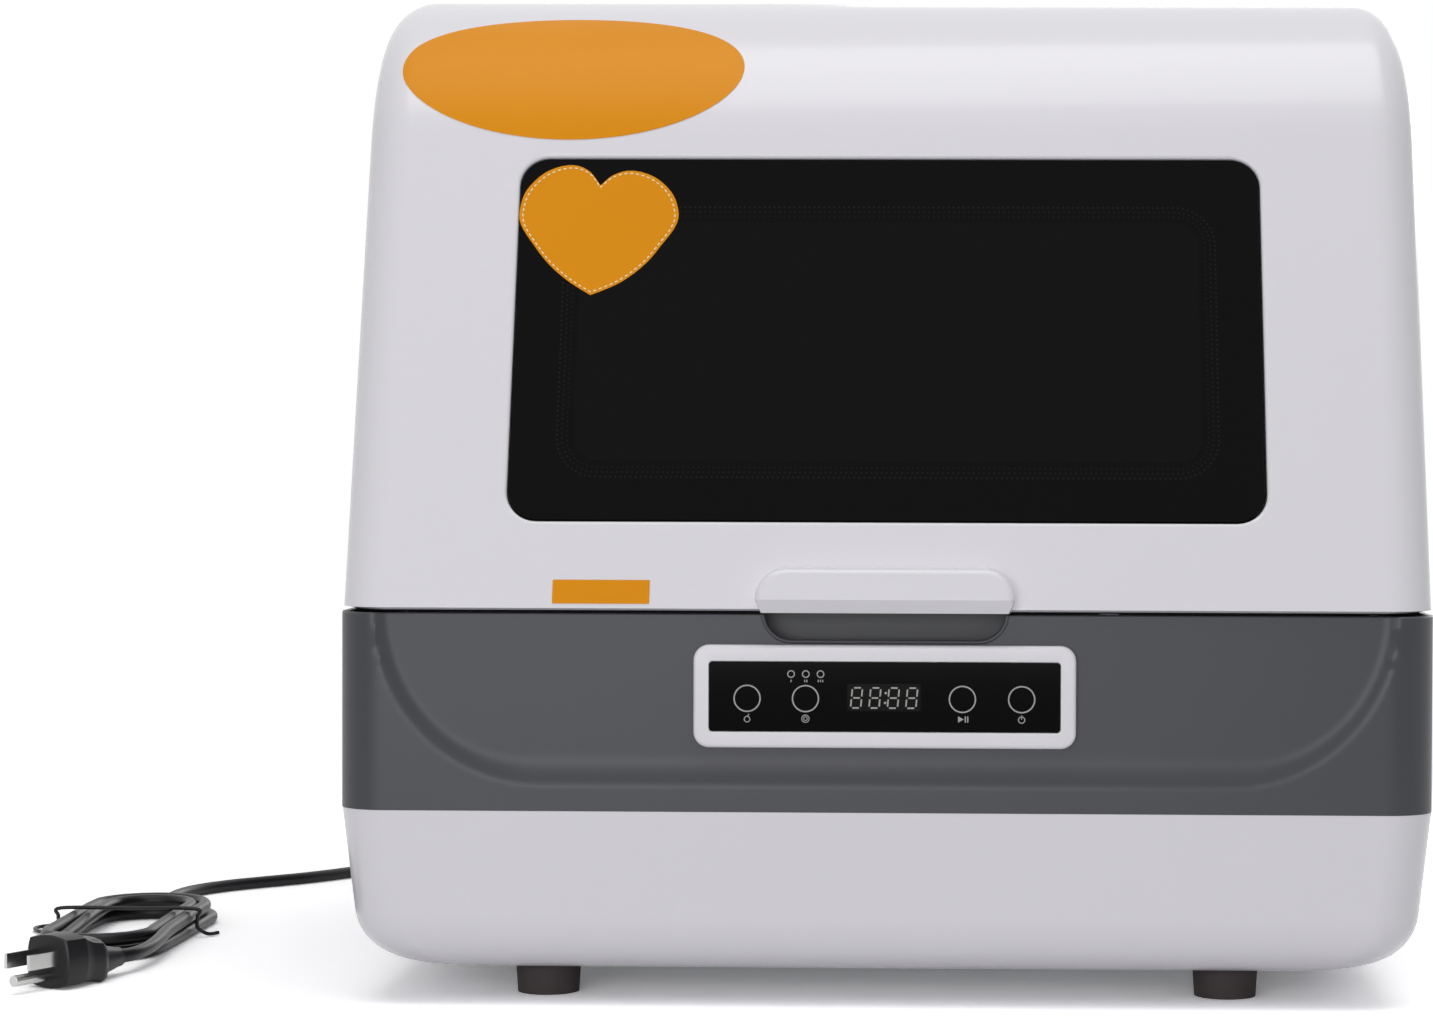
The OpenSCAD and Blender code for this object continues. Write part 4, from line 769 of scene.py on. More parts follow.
@dataclass
class Hood:
    """The hood's white skin with its window opening and pull."""

    window: tuple[float, float] = (312.0, 160.0)
    window_up: float = 38.0
    window_r: float = 12.0
    seat: float = 6.0
    rear_edge: float = 112.0
    pad_width: float = 105.5

    def skin(self) -> BMesh:
        """The lofted skin as a closed block, before it is hollowed."""
        cy, cz = OUTER.brow_centre
        a = math.radians(OUTER.lean)
        shape = bmesh.new()
        low = shape.verts.new((0, OUTER.front + OUTER.proud, OUTER.hood_z))
        high = shape.verts.new((0, cy - OUTER.brow * math.cos(a), cz + OUTER.brow * math.sin(a)))
        shape.edges.new((low, high))
        bmesh.ops.spin(
            shape, geom=[high], cent=(0, cy, cz), axis=(-1, 0, 0), angle=math.radians(90 - OUTER.lean), steps=36
        )
        shape.verts.ensure_lookup_table()
        top = max(shape.verts, key=lambda v: (round(v.co.z, 3), v.co.y))
        back = shape.verts.new((0, self.rear_edge, OUTER.top))
        foot = shape.verts.new((0, self.rear_edge, OUTER.hood_z))
        shape.edges.new((top, back))
        shape.edges.new((back, foot))
        shape.edges.new((foot, low))
        bmesh.ops.remove_doubles(shape, verts=shape.verts, dist=0.001)
        bmesh.ops.contextual_create(shape, geom=shape.edges[:])
        bmesh.ops.translate(shape, vec=(-OUTER.half + OUTER.proud, 0, 0), verts=shape.verts)
        pushed = bmesh.ops.extrude_face_region(shape, geom=shape.faces[:])["geom"]
        across = 2 * (OUTER.half - OUTER.proud)
        bmesh.ops.translate(shape, vec=(across, 0, 0), verts=only(pushed, BMVert))
        outward(shape)
        return shape

    def is_open(self, item: BMEdge | BMFace) -> bool:
        """Whether an edge or a face lies in the open bottom or back."""
        return every(item, lambda c: c.z < OUTER.hood_z + 0.01) or every(item, lambda c: c.y > self.rear_edge - 0.01)

    def opened(self) -> BMesh:
        """The skin with its window opening, whose rim rolls inwards."""
        w, h = self.window
        up = self.window_up + h / 2
        hollow = shell(self.skin(), OUTER.half - OUTER.proud, OUTER.corner, self.is_open)
        shape = carve(hollow, place(plate(w + 1.2, h + 1.2, self.window_r + 0.6, 30), OUTER.on_lean(0, up, 10)))
        inverse = OUTER.on_lean(0, up, 0).inverted()
        rim = []
        for edge in shape.edges:
            spots = [inverse @ v.co for v in edge.verts]
            near = all(abs(q.x) < w / 2 + 0.7 and abs(q.y) < h / 2 + 0.7 and abs(q.z) < 0.02 for q in spots)
            if near and len(edge.link_faces) == 2 and edge.calc_face_angle(0) > 1.0:
                rim.append(edge)
        round_edges(shape, rim, 1.8, 4)
        seat = carve(
            place(plate(w + 12, h + 12, self.window_r + 6, 4.5), OUTER.on_lean(0, up, -2.5)),
            place(plate(w + 0.8, h + 0.8, self.window_r + 0.4, 3.5), OUTER.on_lean(0, up, -2.5)),
            place(plate(w - 20, h - 20, 3, 20), OUTER.on_lean(0, up, 0)),
        )
        return join(shape, seat)

    def pull(self) -> BMesh:
        """The pad that hangs over the finger recess: round top corners and an undercut lip."""
        lip, edge_z, low = OUTER.front - 7.6, OUTER.hood_z + 4.2, OUTER.hood_z - 1.5
        shape = place(plate(self.pad_width, 46, 12.5, 26, 10), facing(0, lip, 181.5 - 23))
        for z, clear in ((low, True), (edge_z, False)):
            cut = bmesh.ops.bisect_plane(
                shape,
                geom=[*shape.verts, *shape.edges, *shape.faces],
                plane_co=(0, 0, z),
                plane_no=(0, 0, 1),
                clear_inner=clear,
            )
            if clear:
                bmesh.ops.contextual_create(shape, geom=only(cut["geom_cut"], BMEdge))
        for vert in shape.verts:
            if vert.co.y < lip + 1:
                rise = vert.co.z - edge_z
                vert.co.y += 0.22 * rise if rise > 0 else -0.85 * rise
                vert.co.x *= 1.0 if rise > 0 else 1 + 0.008 * rise
        outward(shape)
        front = [e for e in sharp(shape, 20) if every(e, lambda c: c.y < lip + 9)]
        round_edges(shape, [e for e in front if not every(e, lambda c: c.z <= edge_z + 0.1)], 3.0, 6)
        lower = [e for e in sharp(shape, 20) if every(e, lambda c: c.y < lip + 9 and c.z < edge_z + 0.6)]
        round_edges(shape, lower, 0.7, 3)
        return shape

    def build(self) -> None:
        """Makes the hood's skin and its pull."""
        form("hood_skin", self.opened(), WHITE_ABS, "hood", ("hood_shell",))
        form("hood_pull", self.pull(), WHITE_ABS, "hood")


@dataclass
class Rear:
    """The fixed rear housing with the trough and knuckles of the hinge."""

    trough: float = 14.5
    trough_z: float = 413.5
    barrel: float = 6.5
    bore: float = 2.7
    knuckles: tuple[tuple[float, float], ...] = ((-109.5, 109.5), (150.5, 210.0), (-210.0, -150.5))

    def skin(self) -> BMesh:
        """The outer skin: a block with a round back edge and round sides, hollowed from the front and from below."""
        half, rear = OUTER.half - OUTER.proud, OUTER.rear - OUTER.proud
        shape = block((-half, OUTER.split, OUTER.belt_top), (half, rear, OUTER.top))
        back = [e for e in shape.edges if all(v.co.y > rear - 1 and v.co.z > OUTER.top - 1 for v in e.verts)]
        round_edges(shape, back, OUTER.back, 14)
        return shell(shape, half, OUTER.corner, self.is_open)

    @staticmethod
    def is_open(item: BMEdge | BMFace) -> bool:
        """Whether an edge or a face lies in the open bottom or front."""
        return every(item, lambda c: c.z < OUTER.belt_top + 0.01) or every(item, lambda c: c.y < OUTER.split + 0.01)

    def knuckle(self, x0: float, x1: float) -> BMesh:
        """One bored hinge knuckle on its foot."""
        y, z = OUTER.split + self.barrel, OUTER.top - self.barrel - 1.5
        barrel = rod(self.barrel, (x0, y, z), (x1, y, z))
        round_edges(barrel, sharp(barrel, 60), 0.5, 2)
        foot = block((x0 + 0.3, y + 2, self.trough_z - 1), (x1 - 0.3, OUTER.split + self.trough + 1, z - 2))
        return join(carve(barrel, rod(self.bore, (x0 - 1, y, z), (x1 + 1, y, z), 20)), foot)

    def build(self) -> None:
        """Cuts the trough and the rear opening, and sets floor, wall, ribs and knuckles in."""
        half, rear, split = OUTER.half - OUTER.proud, OUTER.rear - OUTER.proud, OUTER.split
        cut = carve(
            self.skin(),
            block((-half - 2, split - 2, self.trough_z), (half + 2, split + self.trough, OUTER.top + 3)),
            place(plate(320, 170, 8, 20), facing(0, rear - 10, 280)),
        )
        floor = block((-half + 3.5, split, self.trough_z - 2.5), (half - 3.5, split + self.trough + 3, self.trough_z))
        wall = place(plate(2 * half - 6.4, 40, 16.5, 2.5), facing(0, split + self.trough, OUTER.top - 23))
        low, high = OUTER.belt_top + 1.5, self.trough_z - 2.6
        ribs = [block((s * 212 - 9, 117.7, low), (s * 212 + 9, 120.5, high)) for s in (-1, 1)]
        turned = [self.knuckle(*span) for span in self.knuckles]
        shape = join(cut, floor, trim(wall, self.trough_z), *ribs, *turned)
        form("rear_skin", shape, WHITE_ABS, "housing", ("rear_housing",))


@dataclass
class Base:
    """The bowl-shaped base: drafted sides that roll under to a flat floor."""

    floor_z: float = 13.6
    draft: float = 5.6
    proud: float = 0.1
    under: float = 27.0
    steps: int = 14

    def inset(self, z: float) -> float:
        """How far the drafted side stands in at a height."""
        return self.proud + (OUTER.belt_z - z) * math.tan(math.radians(self.draft))

    @staticmethod
    def corner_at(inset: float) -> tuple[float, float, float]:
        """Corner radius of a level that stands in, and its corner centre in X and from the middle in Y."""
        radius = OUTER.corner + 0.35 * inset
        return radius, OUTER.half - inset - radius, (OUTER.rear - OUTER.front) / 2 - inset - radius

    def levels(self) -> list[tuple[float, float]]:
        """Inset and height of each level, from the top down."""
        centre = self.floor_z + self.under
        deep = self.inset(centre) + self.under / math.cos(math.radians(self.draft))
        made = [(self.inset(OUTER.belt_z), OUTER.belt_z)]
        for k in range(self.steps + 1):
            a = math.radians((90 - self.draft) * (1 - k / self.steps))
            made.append((deep - self.under * math.sin(a), centre - self.under * math.cos(a)))
        return made

    def bowl(self) -> BMesh:
        """Draws a round-cornered ring down level by level, closes the floor and gives it its wall."""
        middle = (OUTER.rear + OUTER.front) / 2
        shape = plate(2 * OUTER.half, OUTER.rear - OUTER.front, OUTER.corner, 0, 12)
        bmesh.ops.delete(shape, geom=shape.faces[:], context="FACES_ONLY")
        loop, ring, last = shape.edges[:], shape.verts[:], (0.0, OUTER.belt_z)
        for vert in ring:
            vert.co.z = OUTER.belt_z
        for number, (inset, z) in enumerate(self.levels()):
            if number:
                pushed = bmesh.ops.extrude_edge_only(shape, edges=loop)["geom"]
                ring, loop = only(pushed, BMVert), only(pushed, BMEdge)
            old_r, old_x, old_y = self.corner_at(last[0])
            new_r, new_x, new_y = self.corner_at(inset)
            for vert in ring:
                sx, sy = math.copysign(1, vert.co.x), math.copysign(1, vert.co.y)
                ux, uy = (vert.co.x - sx * old_x) / old_r, (vert.co.y - sy * old_y) / old_r
                vert.co = Vector((sx * new_x + new_r * ux, sy * new_y + new_r * uy, z))
            last = (inset, z)
        bmesh.ops.contextual_create(shape, geom=loop)
        bmesh.ops.translate(shape, vec=(0, middle, 0), verts=shape.verts)
        outward(shape)
        lowest = [f for f in shape.faces if len(f.verts) > 4]
        if lowest and lowest[0].normal.z > 0:
            bmesh.ops.reverse_faces(shape, faces=shape.faces[:])
        return thicken(shape, WALL)

    def build(self) -> None:
        """Opens the floor, the side vents and the cord's way out."""
        cuts = [block((-142, -122, self.floor_z - 10), (142, 122, self.floor_z + 10))]
        sideways = rotation(90, "Z") @ rotation(90, "X")
        for s in (-1, 1):
            for i in range(6):
                spot = shift(s * OUTER.half - 20, OUTER.front + 60 + 9 * i, OUTER.belt_z - 15)
                cuts.append(place(plate(4, 14, 1.2, 40, 3), spot @ sideways))
        cuts.append(rod(10.5, (-175, OUTER.rear - 30, 35), (-175, OUTER.rear + 5, 35)))
        boss = carve(
            rod(11, (-175, 194, 35), (-175, 210.8, 35), 40), rod(6.6, (-175, 190, 35), (-175, 214, 35), 32)
        )
        shape = join(carve(self.bowl(), *cuts), boss)
        form("base_bowl", shape, WHITE_ABS, "housing", ("base_shell",))


@dataclass
class Belt:
    """The grey belt with its scooped front and finger recess."""

    scoop: float = 3.0
    thick: float = 8.0
    lip_z: float = 162.3
    recess_w: float = 100.0
    recess_low: float = 151.0
    recess_deep: float = 14.0
    recess_r: float = 12.0
    tall: float = 60.0  # of the blocks that cut the recess: their round top corners lie over the lip

    def sunk(self, x: float, z: float) -> float:
        """How far the front face is scooped at a place, easing in between two ellipse-cornered lines."""
        def reach(x0: float, a: float, b: float) -> float:
            over = max(abs(x) - x0, 0) / a
            return math.hypot(over, (165 - z) / b)

        inner, outer = reach(150, 54, 60.4), reach(140, 69, 72.6)
        if outer >= 1:
            return 0.0
        if inner <= 1:
            return self.scoop
        t = (1 - outer) / max((1 - outer) + (inner - 1), 1e-6)
        return self.scoop * (1 - (1 - t) ** 2.2)

    def wrapped(self, along: float, deep: float) -> tuple[float, float]:
        """Place in X and Y of a point along the front and round its corners, so deep below the skin."""
        flat, r = OUTER.half - OUTER.corner, OUTER.corner
        if abs(along) <= flat:
            return along, OUTER.front + deep
        turn = (abs(along) - flat) / r
        deep = deep - (deep - WALL) * turn / (math.pi / 2) if deep else 0.0
        return math.copysign(flat + (r - deep) * math.sin(turn), along), OUTER.front + r - (r - deep) * math.cos(turn)

    def front(self) -> BMesh:
        """The front with both corners: a fine grid, thickened, bent round, scooped and cut for the fingers."""
        wide, high = 2 * (OUTER.half - OUTER.corner) + math.pi * OUTER.corner, self.lip_z - OUTER.belt_z
        shape = bmesh.new()
        bmesh.ops.create_grid(shape, x_segments=218, y_segments=44, size=0.5)
        bmesh.ops.scale(shape, vec=(wide, high, 1), verts=shape.verts)
        place(shape, facing(0, OUTER.front, (self.lip_z + OUTER.belt_z) / 2))
        pushed = bmesh.ops.extrude_face_region(shape, geom=shape.faces[:])["geom"]
        backs = set(only(pushed, BMVert))
        flat = OUTER.half - OUTER.corner
        for vert in shape.verts:
            x, y = self.wrapped(vert.co.x, self.thick if vert in backs else 0.0)
            z = vert.co.z
            if vert not in backs:
                y += self.sunk(x, z)
                if z > self.lip_z - 0.01:
                    x, y = x - math.copysign(0.5 * max(abs(x) - flat, 0) / OUTER.corner, x), y + 0.5
                elif z > self.lip_z - 1.9:
                    z = self.lip_z - 0.5
            vert.co = Vector((x, y, z))
        outward(shape)
        hole = plate(self.recess_w, self.tall, self.recess_r, 40, 10)
        place(hole, facing(0, OUTER.front - 10, self.recess_low + self.tall / 2))
        board = place(plate(104, 20, 2, 40), facing(0, OUTER.front - 10, 128.9))
        return carve(shape, hole, board)

    def bead(self) -> bpy.types.Object:
        """The rounded lip round the finger recess, swept along its sides and floor."""
        half, low, r, y = self.recess_w / 2, self.recess_low, self.recess_r, OUTER.front + self.scoop + 0.55
        turns = [math.radians(a) for a in range(5, 91, 5)]
        left = [Vector((-half + r - r * math.cos(a), y, low + r - r * math.sin(a))) for a in turns]
        right = [Vector((-p.x, p.y, p.z)) for p in reversed(left)]
        line = [p * MM for p in (*left, *right)]
        return wire("finger_bead", line, 1.0 * MM, GREY_ABS, "housing")

    def cup(self) -> BMesh:
        """The pocket behind the finger recess."""
        r, tall, y, wall = self.recess_r, self.tall, OUTER.front + self.scoop, 1.5
        middle = self.recess_low + tall / 2
        outside = plate(self.recess_w + 2 * wall, tall + 2 * wall, r + wall, self.recess_deep + wall, 10)
        return carve(
            place(outside, facing(0, y + wall, middle)),
            place(plate(self.recess_w, tall, r, self.recess_deep + 1, 10), facing(0, y + 0.5, middle)),
            block((-60, y - 5, self.lip_z), (60, y + 30, self.lip_z + 60)),
        )

    def sides(self) -> BMesh:
        """Sides and back of the belt, with the service recess sunk into the back."""
        depth = OUTER.rear - OUTER.front
        shape = plate(2 * OUTER.half, depth, OUTER.corner, self.lip_z - OUTER.belt_z, 12)
        place(shape, shift(0, (OUTER.rear + OUTER.front) / 2, self.lip_z))
        front = OUTER.front + OUTER.corner + 0.1
        gone = [f for f in shape.faces if abs(f.normal.z) > 0.9 or f.calc_center_median().y < front]
        bmesh.ops.delete(shape, geom=gone, context="FACES")
        outward(shape)
        if sum(f.normal.x * f.calc_center_median().x for f in shape.faces) < 0:
            bmesh.ops.reverse_faces(shape, faces=shape.faces[:])
        thicken(shape, WALL)
        opening = block((65, 185, 94.5), (183, 220, 144.5))
        x0, x1, z = 92.0, 158.0, 119.5
        recess = carve(
            block((62, 187, 91.5), (186, OUTER.rear - 2, 147.5)),
            block((65, 190, 94.5), (183, 220, 144.5)),
            rod(14, (x0, 180, z), (x0, 195, z), 40),
            rod(10, (x1, 180, z), (x1, 195, z), 32),
        )
        return join(carve(shape, opening), recess)

    def ledge(self) -> BMesh:
        """The ledge inside that carries the tub, with the latch's slot."""
        middle, top = (OUTER.rear + OUTER.front) / 2, 157.0
        shape = plate(2 * (OUTER.half - 2), OUTER.rear - OUTER.front - 4, 18, 3, 8)
        hole = plate(400.6, 303, 28, 20, 8)
        return carve(
            place(shape, shift(0, middle, top)),
            place(hole, shift(0, -28.8, top + 10)),
            block((-230, OUTER.split + 5, top - 10), (230, OUTER.rear + 5, top + 10)),
            block((86, -199, 150), (98, -186.5, 160)),
            block((-230, OUTER.front - 5, 150), (230, OUTER.front + 6.5, 160)),
            block((-52, OUTER.front - 5, 150), (52, OUTER.front + self.scoop + self.recess_deep + 3, 160)),
        )

    def strip(self) -> BMesh:
        """The thin black strip on the belt's rim: painted shade that darkens the seam under the hood."""
        middle, top = (OUTER.rear + OUTER.front) / 2, OUTER.belt_top + 1.2
        return carve(
            place(plate(439, 409, 15, 1.3, 8), shift(0, middle, top)),
            place(plate(433, 403, 12, 5, 8), shift(0, middle, top + 2)),
            block((-230, 108, top - 3), (230, 230, top + 3)),
        )

    def build(self) -> None:
        """Makes the belt's pieces."""
        # The seam strip is painted shade along the gap under the hood.
        form("painted_seam_shade_strip", self.strip(), SEAM_SHADE_PAINT, "housing")
        form("belt_front", self.front(), GREY_ABS, "housing", ("belt_housing",))
        form("belt_sides", self.sides(), GREY_ABS, "housing")
        form("belt_ledge", self.ledge(), GREY_ABS, "housing")
        form("finger_cup", self.cup(), GREY_ABS, "housing")
        self.bead()


@dataclass
class Panel:
    """Bezel, touch glass marks and unlit display."""

    bezel: tuple[float, float, float] = (156.0, 42.0, 6.4)
    glass: tuple[float, float, float] = (143.0, 28.4, 1.4)
    middle: float = 128.9
    face: float = -207.0
    glass_face: float = -206.6
    ink: float = 0.03
    keys: tuple[float, ...] = (-56.0, -32.2, 31.7, 55.8)
    key_z: float = 128.1
    key_r: float = 5.3
    sign_z: float = 119.9
    lamps: tuple[float, ...] = (-38.1, -32.1, -26.1)
    lamp_z: float = 138.1
    lamp_r: float = 1.35
    count_z: float = 135.3
    first_digit: float = -11.35
    digit_step: float = 7.49
    slant: float = 0.09

    def frame(self) -> BMesh:
        """The bezel with its softened edges."""
        w, h, r = self.bezel
        gw, gh, gr = self.glass
        shape = carve(
            place(plate(w, h, r, 4.0), facing(0, self.face, self.middle)),
            place(plate(gw + 0.4, gh + 0.4, gr + 0.2, 2.6), facing(0, self.face - 0.2, self.middle)),
            place(plate(100, 18, 2, 20), facing(0, self.face - 5, self.middle)),
        )
        outer = [e for e in sharp(shape, 40) if all(v.co.y < self.face + 0.1 for v in e.verts)]
        rim = [
            e for e in outer if not every(e, lambda c: abs(c.x) <= gw / 2 + 1 and abs(c.z - self.middle) <= gh / 2 + 1)
        ]
        inner = [e for e in outer if e not in rim]
        round_edges(shape, rim, 1.4, 4)
        round_edges(shape, [e for e in inner if e.is_valid], 0.3, 2)
        return shape

    def on_glass(self, x: float, z: float) -> Matrix:
        """Where a printed mark lies on the touch glass."""
        return facing(x, self.glass_face - self.ink, z)

    def ring(self, x: float, z: float, radius: float, line: float, segments: int = 48) -> BMesh:
        """A printed ring."""
        shape = bmesh.new()
        bmesh.ops.create_circle(shape, cap_ends=True, segments=segments, radius=radius + line / 2)
        bmesh.ops.inset_individual(shape, faces=shape.faces[:], thickness=line)
        bmesh.ops.delete(shape, geom=[max(shape.faces, key=lambda f: len(f.verts))], context="FACES")
        return place(shape, self.on_glass(x, z))

    def bar(self, x: float, z: float, w: float, h: float, turn: float = 0.0, slant: float = 0.0) -> BMesh:
        """A printed bar, turned about its middle and slanted about the panel's middle line."""
        shape = plate(w, h, min(w, h) * 0.3, 0, 2)
        place(shape, shift(x, z - self.middle, 0) @ rotation(turn, "Z"))
        for vert in shape.verts:
            vert.co.x += slant * vert.co.y
        return place(shape, self.on_glass(0, self.middle))

    def digit(self, x: float) -> list[BMesh]:
        """The seven segments of one unlit digit."""
        w, h, t = 4.1, 4.1, 0.62
        spots = [(0, h, w - 1.3, t), (0, 0, w - 1.3, t), (0, -h, w - 1.3, t)]
        sides = [(sx * w / 2, sz * h / 2, t, h - 1.1) for sx in (-1, 1) for sz in (-1, 1)]
        return [self.bar(x + a, self.middle - 0.4 + b, c, d, slant=self.slant) for a, b, c, d in spots + sides]

    def signs(self) -> list[BMesh]:
        """Plain pictures under the keys: a fruit, a plate, start and pause, and on."""
        z = self.sign_z
        fruit, dish, start, power = self.keys
        made = [self.ring(fruit, z - 0.3, 1.15, 0.35, 20), self.bar(fruit + 0.5, z + 1.4, 0.35, 1.0, -30)]
        made += [self.ring(dish, z, 1.5, 0.32, 24), self.ring(dish, z, 0.75, 0.28, 20)]
        made += [self.bar(start + 1.2, z, 0.45, 2.6), self.bar(start + 2.2, z, 0.45, 2.6)]
        play = bmesh.new()
        bmesh.ops.create_circle(play, cap_ends=True, segments=3, radius=1.5)
        made.append(place(play, self.on_glass(start - 1.0, z) @ rotation(-90, "Z")))
        made += [self.ring(power, z - 0.1, 1.3, 0.35, 24), self.bar(power, z + 0.9, 0.4, 1.7)]
        for count, x in enumerate(self.lamps, 1):
            made += [self.bar(x + 0.9 * (k - (count - 1) / 2), self.count_z, 0.4, 1.0) for k in range(count)]
        return made

    def build(self) -> None:
        """Makes the panel's pieces."""
        form("bezel_frame", self.frame(), BEZEL_ABS, "housing", ("panel_bezel",))
        marks = [self.ring(x, self.key_z, self.key_r, 0.55) for x in self.keys]
        marks += [self.ring(x, self.lamp_z, self.lamp_r, 0.42, 28) for x in self.lamps]
        form("panel_marks", join(*marks, *self.signs()), PRINT_GREY, "housing")
        digits = [bar for k in range(4) for bar in self.digit(self.first_digit + self.digit_step * k)]
        dots = [self.ring(0.35 + s * 0.12, self.middle - 0.4 + s * 2.0, 0.25, 0.5, 12) for s in (-1, 1)]
        form("display_digits", join(*digits, *dots), SEGMENT_GREY, "housing")
        back = place(plate(29.9, 11.1, 0.4, 0.0, 2), facing(-0.25, self.glass_face - 0.015, 128.65))
        form("display_field", back, FIELD_BLACK, "housing")


@dataclass
class Window:
    """The window's printed border of dots and the lighter field inside it."""

    size: tuple[float, float] = (274.0, 119.8)
    centre: tuple[float, float] = (0.2, 116.4)
    corner: float = 17.0
    pitch: float = 2.1
    rows: int = 3
    depth: float = -0.78

    def build(self) -> None:
        """Prints the dots row by row round the field."""
        dots = bmesh.new()
        for row in range(self.rows):
            w, h = self.size[0] - 2 * self.pitch * row, self.size[1] - 2 * self.pitch * row
            r = self.corner - self.pitch * row
            straight = [(w - 2 * r), math.pi / 2 * r, (h - 2 * r), math.pi / 2 * r] * 2
            around = sum(straight)
            count = int(around / self.pitch)
            for k in range(count):
                x, y = self.along(around * k / count, w, h, r)
                spot = bmesh.ops.create_circle(dots, cap_ends=True, segments=6, radius=0.5 - 0.08 * row)["verts"]
                bmesh.ops.translate(dots, vec=(x, y, 0), verts=spot)
        place(dots, OUTER.on_lean(self.centre[0], self.centre[1], self.depth))
        form("window_dots", dots, DOT_PRINT, "hood")
        inside = plate(self.size[0] - 14, self.size[1] - 14, self.corner - 7, 0)
        place(inside, OUTER.on_lean(*self.centre, self.depth - 0.01))
        form("window_field", inside, FIELD_GLASS, "hood")

    @staticmethod
    def along(s: float, w: float, h: float, r: float) -> tuple[float, float]:
        """A place on a rounded rectangle's outline.

        Args:
            s: Distance along it from the left end of its top.
            w: Its width.
            h: Its height.
            r: Its corner radius.

        Returns:
            X and Y from its centre.
        """
        a, b, arc = w / 2 - r, h / 2 - r, math.pi / 2 * r
        for length, start, step, turn in (
            (2 * a, (-a, h / 2), (1, 0), None), (arc, (a, b), None, 90), (2 * b, (w / 2, b), (0, -1), None),
            (arc, (a, -b), None, 0), (2 * a, (a, -h / 2), (-1, 0), None), (arc, (-a, -b), None, -90),
            (2 * b, (-w / 2, -b), (0, 1), None), (arc, (-a, b), None, 180),
        ):
            if s <= length:
                if turn is None:
                    return start[0] + step[0] * s, start[1] + step[1] * s
                angle = math.radians(turn) - s / r
                return start[0] + r * math.cos(angle), start[1] + r * math.sin(angle)
            s -= length
        return -a, h / 2


@dataclass
class Labels:
    """The three blank orange stickers."""

    lift: float = 0.2
    oval_at: tuple[float, float] = (-136.6, 243.4)
    oval_reach: tuple[float, float] = (73.8, 36.7)
    heart_at: Point = (-125.05, 136.4, -0.6)
    heart_middle: Point = (2.4, 30, 0)
    stitch_inset: float = 0.955
    stitch_ends: int = 156
    strip_size: tuple[float, float] = (39.8, 10.1)
    strip_at: tuple[float, float] = (-116.1, 6.95)

    def disc(self, rings: int, segments: int) -> BMesh:
        """A unit disc cut into rings, so that it can follow a curved skin."""
        shape = bmesh.new()
        bmesh.ops.create_circle(shape, cap_ends=True, segments=segments, radius=1.0)
        for k in range(rings - 1):
            middle = max(shape.faces, key=lambda f: len(f.verts))
            bmesh.ops.inset_individual(shape, faces=[middle], thickness=1 / rings)
        return shape

    @staticmethod
    def heart() -> list[Vector]:
        """A full heart's outline in millimetres from its tip, round by the left."""
        left = [
            (0, 0), (-9.5, 6.2), (-18.2, 14), (-25.4, 23.5), (-30.4, 31.5), (-31.3, 38),
            (-28.6, 47.5), (-20.5, 55.8), (-10.3, 58.9), (-2.6, 56.3), (2.6, 49.6),
        ]
        right = [
            (2.6, 49.6), (8, 54.4), (15.9, 56.4), (25.6, 53.4), (33.2, 46), (36.1, 37),
            (34.6, 30.5), (29.8, 23.4), (22.6, 14), (12.2, 5.6), (0, 0),
        ]
        made = []
        for half in (left, right):
            made += smooth_path([Vector((*p, 0)) for p in half], 6)[:-1]
        return made

    @staticmethod
    def spaced(points: list[Vector], count: int) -> list[Vector]:
        """Spaces points evenly along a closed line."""
        ring = [*points, points[0]]
        lengths = [(b - a).length for a, b in zip(ring, ring[1:])]
        made, walked, k = [], 0.0, 0
        for step in range(count):
            target = sum(lengths) * step / count
            while walked + lengths[k] < target:
                walked += lengths[k]
                k += 1
            made.append(ring[k].lerp(ring[k + 1], (target - walked) / lengths[k]))
        return made

    def oval(self) -> None:
        """The oval sticker that bends over the brow."""
        shape = self.disc(30, 96)
        (x, along), (half, high) = self.oval_at, self.oval_reach
        for vert in shape.verts:
            vert.co = OUTER.skin(x + half * vert.co.x, along + high * vert.co.y, self.lift)
        form("oval_sticker", shape, LABEL_ORANGE, "hood", angle=80)

    def heart_sticker(self) -> None:
        """The heart on the glass with its stitched line."""
        outline, middle = self.heart(), Vector(self.heart_middle)
        spot = OUTER.on_lean(*self.heart_at)
        shape = self.disc(4, len(outline))
        for vert in shape.verts:
            r, turn = math.hypot(vert.co.x, vert.co.y), math.atan2(-vert.co.x, -vert.co.y) % math.tau
            vert.co = spot @ middle.lerp(outline[round(turn / math.tau * len(outline)) % len(outline)], min(r, 1.0))
        form("heart_sticker", shape, LABEL_ORANGE, "hood", angle=80)
        line = self.spaced([middle.lerp(p, self.stitch_inset) for p in outline], self.stitch_ends)
        stitches = []
        for a, b in zip(line[::2], line[1::2]):
            dash = plate((b - a).length * 1.1, 0.55, 0.1, 0, 1)
            turn = Matrix.Rotation(math.atan2((b - a).y, (b - a).x), 4, "Z")
            stitches.append(place(dash, spot @ Matrix.Translation((a + b) / 2 + Vector((0, 0, 0.05))) @ turn))
        form("heart_stitches", join(*stitches), LABEL_CREAM, "hood", angle=80)

    def build(self) -> None:
        """Sticks all three on."""
        self.oval()
        self.heart_sticker()
        strip = place(plate(*self.strip_size, 0.4, 0.0, 2), OUTER.on_lean(*self.strip_at, self.lift))
        form("strip_sticker", strip, LABEL_ORANGE, "hood", angle=80)


